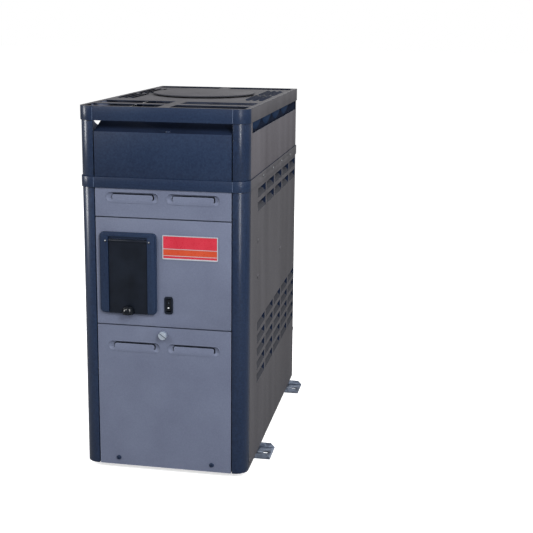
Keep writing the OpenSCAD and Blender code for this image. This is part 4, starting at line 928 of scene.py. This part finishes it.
heads_tree, given = start_tree("screws", Screw="Object", Material="Material")
facing = add(heads_tree, "GeometryNodeInputNamedAttribute", {"Name": "facing"}, data_type="FLOAT_VECTOR")
turn = add(heads_tree, "FunctionNodeAlignRotationToVector", {"Vector": facing.outputs[0]}, axis="Z")
placed = copies(given["Geometry"], shape_of(given["Screw"]), Rotation=turn.outputs[0])
close_tree(placed, given["Material"])
# The side screws take the warm grey painted reflection of the side sheets.
for node, kind, coat in (("jacket_screws", screw, reflection_coat), ("access_panel_screws", screw, navy_coat),
                         ("collar_screws", rivet, mill_steel)):
    bm = merged(node)
    seats = [seat_of(points) for points in solids(bm)]
    bm.free()
    mesh = bpy.data.meshes.new(node + "_heads")
    mesh.from_pydata([place for place, _ in seats], [], [])
    facing = mesh.attributes.new("facing", "FLOAT_VECTOR", "POINT")
    facing.data.foreach_set("vector", np.array([way for _, way in seats], np.float32).ravel())
    heads = link(node + "_heads", mesh)
    use_tree(heads, heads_tree, Screw=kind, Material=coat)
    dress(smooth(settle(heads)), node)
    paint(heads, navy_coat, lambda face: face.center.z > HOOD_LOW_MM * MM)
    tell(heads)
drop(screw, rivet)

# %% [markdown]
# ## Badge
# The plate on the control panel is a stamped aluminium sheet with a bright raised rim and enamelled fields.
# The part carries no name, so the fields stay plain: red above, and a band of orange between two bright
# lines. Each field, line and rim is a flat plate with rounded corners, a little behind or before the others.

# %% Badge
PLATE_CORNER_MM, PLATE_BACK_MM = 2, 0.6
BAR_MM, BAR_SHORT_MM, BAR_CORNER_MM = 2, 3, 0.5
LINES_MM, LINE_MM = (-3.4, -18.6), 1.2
FIELDS_MM = ((11.5, 28.4, 1), (-11, 14, 2), (-21.7, 5, 1))
FIELD_SHORT_MM, FIELD_CORNER_MM, FIELD_BACK_MM = 4, 0.3, 0.35


def rounded(middle, size, corner, steps=6):
    """Outline of a rounded rectangle in the XZ plane, in mm."""
    points = []
    for k, (sx, sz) in enumerate(((1, 1), (-1, 1), (-1, -1), (1, -1))):
        for t in shares(steps):
            a = math.pi / 2 * (k + t)
            points.append((middle[0] + sx * (size[0] / 2 - corner) + corner * math.cos(a),
                           middle[1] + sz * (size[1] / 2 - corner) + corner * math.sin(a)))
    return points


def plates(name, node, materials, parts, place=Matrix()):
    """A piece of flat plates: each has an outline (XZ, mm), two depths and the number of its material."""
    bm = bmesh.new()
    for outline, front_mm, back_mm, kind in parts:
        front, back = ([bm.verts.new((x * MM, y * MM, z * MM)) for x, z in outline]
                       for y in (front_mm, back_mm))
        edges = zip(front, back, back[1:] + back[:1], front[1:] + front[:1])
        for corners in (front, back[::-1], *edges):
            bm.faces.new(corners).material_index = kind
    bmesh.ops.transform(bm, matrix=place, verts=bm.verts)
    bmesh.ops.recalc_face_normals(bm, faces=list(bm.faces))
    return attach(shaped(name, bm, *materials), node)


def badge_parts():
    """Bright plate, raised rim, bright lines, red and orange enamel."""
    low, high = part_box("badge_plate")
    x, z = (low.x + high.x) / 2 / MM, (low.z + high.z) / 2 / MM
    wide, tall = (high.x - low.x) / MM, (high.z - low.z) / MM
    front, back = low.y / MM, high.y / MM
    yield rounded((x, z), (wide, tall), PLATE_CORNER_MM), front + PLATE_BACK_MM, back, 0
    reach, rise = (wide - BAR_MM) / 2, (tall - BAR_MM) / 2
    across, upright = (wide - BAR_SHORT_MM, BAR_MM), (BAR_MM, tall - BAR_SHORT_MM)
    bars = [((0, rise), across), ((0, -rise), across), ((reach, 0), upright), ((-reach, 0), upright),
            *(((0, height), (wide - BAR_SHORT_MM, LINE_MM)) for height in LINES_MM)]
    for (right, up), size in bars:
        yield rounded((x + right, z + up), size, BAR_CORNER_MM, steps=3), front, back, 0
    for up, height, kind in FIELDS_MM:
        size = (wide - FIELD_SHORT_MM, height)
        yield rounded((x, z + up), size, FIELD_CORNER_MM, steps=3), front + FIELD_BACK_MM, back, kind


bright_rim = worked_metal("bright_aluminium", "#b4b9c2", "#ced3da", (0.35, 0.45), metallic=0.5)
red_enamel = moulded("red_enamel", "#b02838", "#be3444", (0.25, 0.35), 0.01, 3.0)
orange_enamel = moulded("orange_enamel", "#b04026", "#bc4c30", (0.25, 0.35), 0.01, 3.0)
badge = plates("badge", "badge_plate", (bright_rim, red_enamel, orange_enamel), badge_parts())
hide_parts("badge_plate")
tell(badge)

# %% [markdown]
# ## Seams beside the corners
# The cap and the collar are folded from flat sheet, and their round corners are separate pieces lapped over
# the front. The lap's raised edge shows as a fine upright line that catches the light. A groove could be cut
# in the CAD sheet, but a hair-thin raised strip shows the same and leaves the sheet whole. The strip is
# painted a lighter navy, as a painted highlight. On the cap it ends where the sheet turns over.

# %% Corner seams
SEAM_X_MM, SEAM_CORNER_MM, SEAM_END_MM = 157, 0.3, 1
SEAM_WIDE_MM, SEAM_PROUD_MM, SEAM_SUNK_MM = 1.0, 0.4, 0.3
CAP_SEAM_TOP_MM = 839.5


def corner_seams(node, front_low, front_high):
    """Two upright strips on the front of a folded band, between two heights (mm)."""
    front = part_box(node)[0].y / MM
    middle, size = (front_low + front_high) / 2, (SEAM_WIDE_MM, front_high - front_low)
    return plates(node + "_seams", node, (seam_highlight_coat,),
                  [(rounded((side * SEAM_X_MM, middle), size, SEAM_CORNER_MM, steps=3),
                    front - SEAM_PROUD_MM, front + SEAM_SUNK_MM, 0) for side in (-1, 1)])


# Painted highlight: a lighter navy for the seam strips.
seam_highlight_coat = powder_coat("navy_powder_painted_highlight", "#3c4a63", "#54627b", (0.35, 0.45), 2.4, 0.4)
cap_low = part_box("top_cap")[0].z / MM
collar_low, collar_high = (corner.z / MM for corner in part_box("jacket_top"))
tell(corner_seams("top_cap", cap_low + SEAM_END_MM, CAP_SEAM_TOP_MM),
     corner_seams("jacket_top", collar_low + SEAM_END_MM, collar_high - SEAM_END_MM))

# %% [markdown]
# ## Marks on the keys and on the rocker
# A keypad's signs are printed or moulded in a second shot. Plain signs are enough: up, down, a list for the
# menu and a ring for the mode, and on the rocker a ring for off and a bar for on. Each rides with its key.

# %% Marks on the keys
MARK_PROUD_MM, KEY_SUNK_MM = 0.25, 0.4
mark_white = moulded("printed_marks", "#d9dbdf", "#e8eaed", (0.4, 0.55), 0.01)
faint_mark = moulded("moulded_marks", "#39424e", "#454f5c", (0.4, 0.55), 0.01)


def ring_of(radius, wide, count=24):
    """A ring as short bars, each an outline in the XZ plane."""
    for k in range(count):
        corners = []
        for turn, r in ((k, radius), (k + 1, radius), (k + 1, radius - wide), (k, radius - wide)):
            a = 2 * math.pi * turn / count
            corners.append((r * math.cos(a), r * math.sin(a)))
        yield corners


def mark(name, node, place, outlines, coat, sunk_mm):
    """A thin mark on a key. Its outlines, in mm, lie on the face where place puts them."""
    parts = [(outline, -MARK_PROUD_MM, sunk_mm, 0) for outline in outlines]
    tell(plates(name, node, (coat,), parts, place))


arrow = [(-4, -2.5), (4, -2.5), (0, 4)]
signs = {
    "up_button": [arrow],
    "down_button": [[(u, -v) for u, v in arrow]],
    "menu_button": [rounded((0, v), (8, 1.2), corner=0.5, steps=3) for v in (-3, 0, 3)],
    "mode_button": ring_of(4, 1.2),
}
for node, outlines in signs.items():
    low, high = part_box(node)
    face = Matrix.Translation(((low.x + high.x) / 2, low.y, (low.z + high.z) / 2))
    mark(node + "_mark", node, face, outlines, mark_white, KEY_SUNK_MM)

# %% Marks on the rocker
ROCKER_SUNK_MM, PRESSED = 0.3, 0.7

# The rocker's two pressing faces, the lower one first, each as its middle and the way it looks.
bm = merged("power_rocker")
flatten(bm)
faces = sorted((f for f in bm.faces if f.normal.y < -PRESSED), key=lambda f: f.calc_area())[-2:]
lower, upper = sorted(((f.calc_center_median(), f.normal.copy()) for f in faces), key=lambda f: f[0].z)
bm.free()
for name, (middle, outward), outlines, coat in (
        ("rocker_off_mark", lower, ring_of(1.6, 0.9), mark_white),
        ("rocker_on_mark", upper, [rounded((0, -1), (1.2, 4), corner=0.4, steps=3)], faint_mark)):
    lean = Vector((0, -1, 0)).rotation_difference(outward).to_matrix().to_4x4()
    mark(name, "power_rocker", Matrix.Translation(middle) @ lean, outlines, coat, ROCKER_SUNK_MM)

# %% [markdown]
# ## Ends of the hinge pins
# The cover swings on two steel pins. Their domed ends show as two bright dots beside its upper edge, on the
# low bosses of the frame.

# %% Hinge pin ends
HINGE_Z_MM = 543.75
PIN_OUT_MM, PIN_SUNK_MM, PIN_R_MM = 6, 0.6, 2.4

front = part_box("control_bezel")[0].y
cover_low, cover_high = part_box("control_cover")
bm = bmesh.new()
for x in (cover_low.x - PIN_OUT_MM * MM, cover_high.x + PIN_OUT_MM * MM):
    place = Matrix.Translation((x, front + PIN_SUNK_MM * MM, HINGE_Z_MM * MM))
    bmesh.ops.create_uvsphere(bm, u_segments=24, v_segments=16, radius=PIN_R_MM * MM, matrix=place)
pin_ends = smooth(shaped("hinge_pin_ends", bm, mill_steel))
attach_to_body(pin_ends, body_of["control_bezel"])
tell(pin_ends)

# %% [markdown]
# ## Stage and light
# The photograph shows the heater cut out on white. A floor carries its soft shadow. For the camera, floor and
# surroundings are white; what lights the object is a plain soft sky, a grey floor and soft boxes. Two of them
# hang above, left and right of the front, and the knob mirrors both. Narrow strips draw the light line down
# each post, wider boxes fill the right and the left side, and two more light the back.

# %% Floor and world
FLOOR_M, FLOOR_GLOW, SKY = 60, 0.62, 0.45
WHITE, FLOOR_SEEN, FLOOR_GREY = "#ffffff", "#f2f2f2", "#888888"


def seen_directly(tree):
    """1 for rays from the camera, also through something clear."""
    path = add(tree, "ShaderNodeLightPath").outputs
    return calculate("MAXIMUM", path["Is Camera Ray"], path["Is Transmission Ray"])


pale_floor, _ = new_finish("pale_floor", {"Roughness": 0.9, "Emission Color": linear(WHITE)})
tree = pale_floor.node_tree
shader = tree.nodes["Principled BSDF"]
seen = seen_directly(tree)
tree.links.new(mixed(seen, FLOOR_GREY, FLOOR_SEEN), shader.inputs["Base Color"])
tree.links.new(calculate("MULTIPLY", seen, FLOOR_GLOW), shader.inputs["Emission Strength"])
bm = bmesh.new()
bmesh.ops.create_grid(bm, x_segments=1, y_segments=1, size=FLOOR_M / 2)
floor = shaped("floor", bm, pale_floor)

world = bpy.data.worlds.new("studio")
world.use_nodes = True
tree = world.node_tree
sky = tree.nodes["Background"]
sky.inputs["Color"].default_value = linear(WHITE)
sky.inputs["Strength"].default_value = SKY
white = add(tree, "ShaderNodeBackground", {"Color": linear(WHITE), "Strength": 1.0})
mix = add(tree, "ShaderNodeMixShader", {0: seen_directly(tree), 1: sky.outputs[0], 2: white.outputs[0]})
tree.links.new(mix.outputs[0], tree.nodes["World Output"].inputs["Surface"])
bpy.context.scene.world = world
print("floor", FLOOR_M, "m, sky", SKY)


# %% Lamps
def make_lamp(name, place, aim, size, watts, mirrored=True, lights=True):
    """A soft box. One that isn't mirrored leaves no gleam, and one that doesn't light only gleams."""
    lamp = bpy.data.lights.new(name, "AREA")
    lamp.energy = watts
    lamp.shape = "RECTANGLE"
    lamp.size, lamp.size_y = size
    thing = link(name, lamp)
    thing.location = place
    thing.visible_glossy = mirrored
    thing.visible_diffuse = lights
    thing.rotation_euler = (Vector(aim) - Vector(place)).to_track_quat("-Z", "Y").to_euler()


make_lamp("left_box", (-1.7, -2.2, 2.3), (0, 0, 0.4), (0.9, 1.2), 42)
make_lamp("right_box", (1.5, -2.2, 2.3), (0, 0, 0.4), (0.9, 1.2), 58)
make_lamp("right_strip", (2.3, -1.1, 1.1), (0.1, -0.3, 0.5), (0.5, 1.6), 16, mirrored=False)
make_lamp("left_strip", (-2.1, -1.1, 0.85), (-0.18, -0.37, 0.75), (0.2, 0.6), 26, lights=False)
make_lamp("post_strip", (1.31, -2.04, 0.85), (0.19, -0.38, 0.75), (0.2, 0.6), 11)
make_lamp("left_fill", (-2.7, 0.4, 0.9), (-0.2, 0, 0.4), (1.2, 1.2), 26, mirrored=False)
make_lamp("rear_left_box", (-2.3, 1.9, 1.9), (0, 0, 0.4), (1.2, 1.2), 30, mirrored=False)
make_lamp("rear_box", (0.6, 2.8, 2.2), (0, 0, 0.4), (1.6, 1.6), 28)
bpy.context.scene.view_settings.view_transform = "Standard"
print("lamps:", len(bpy.data.lights))
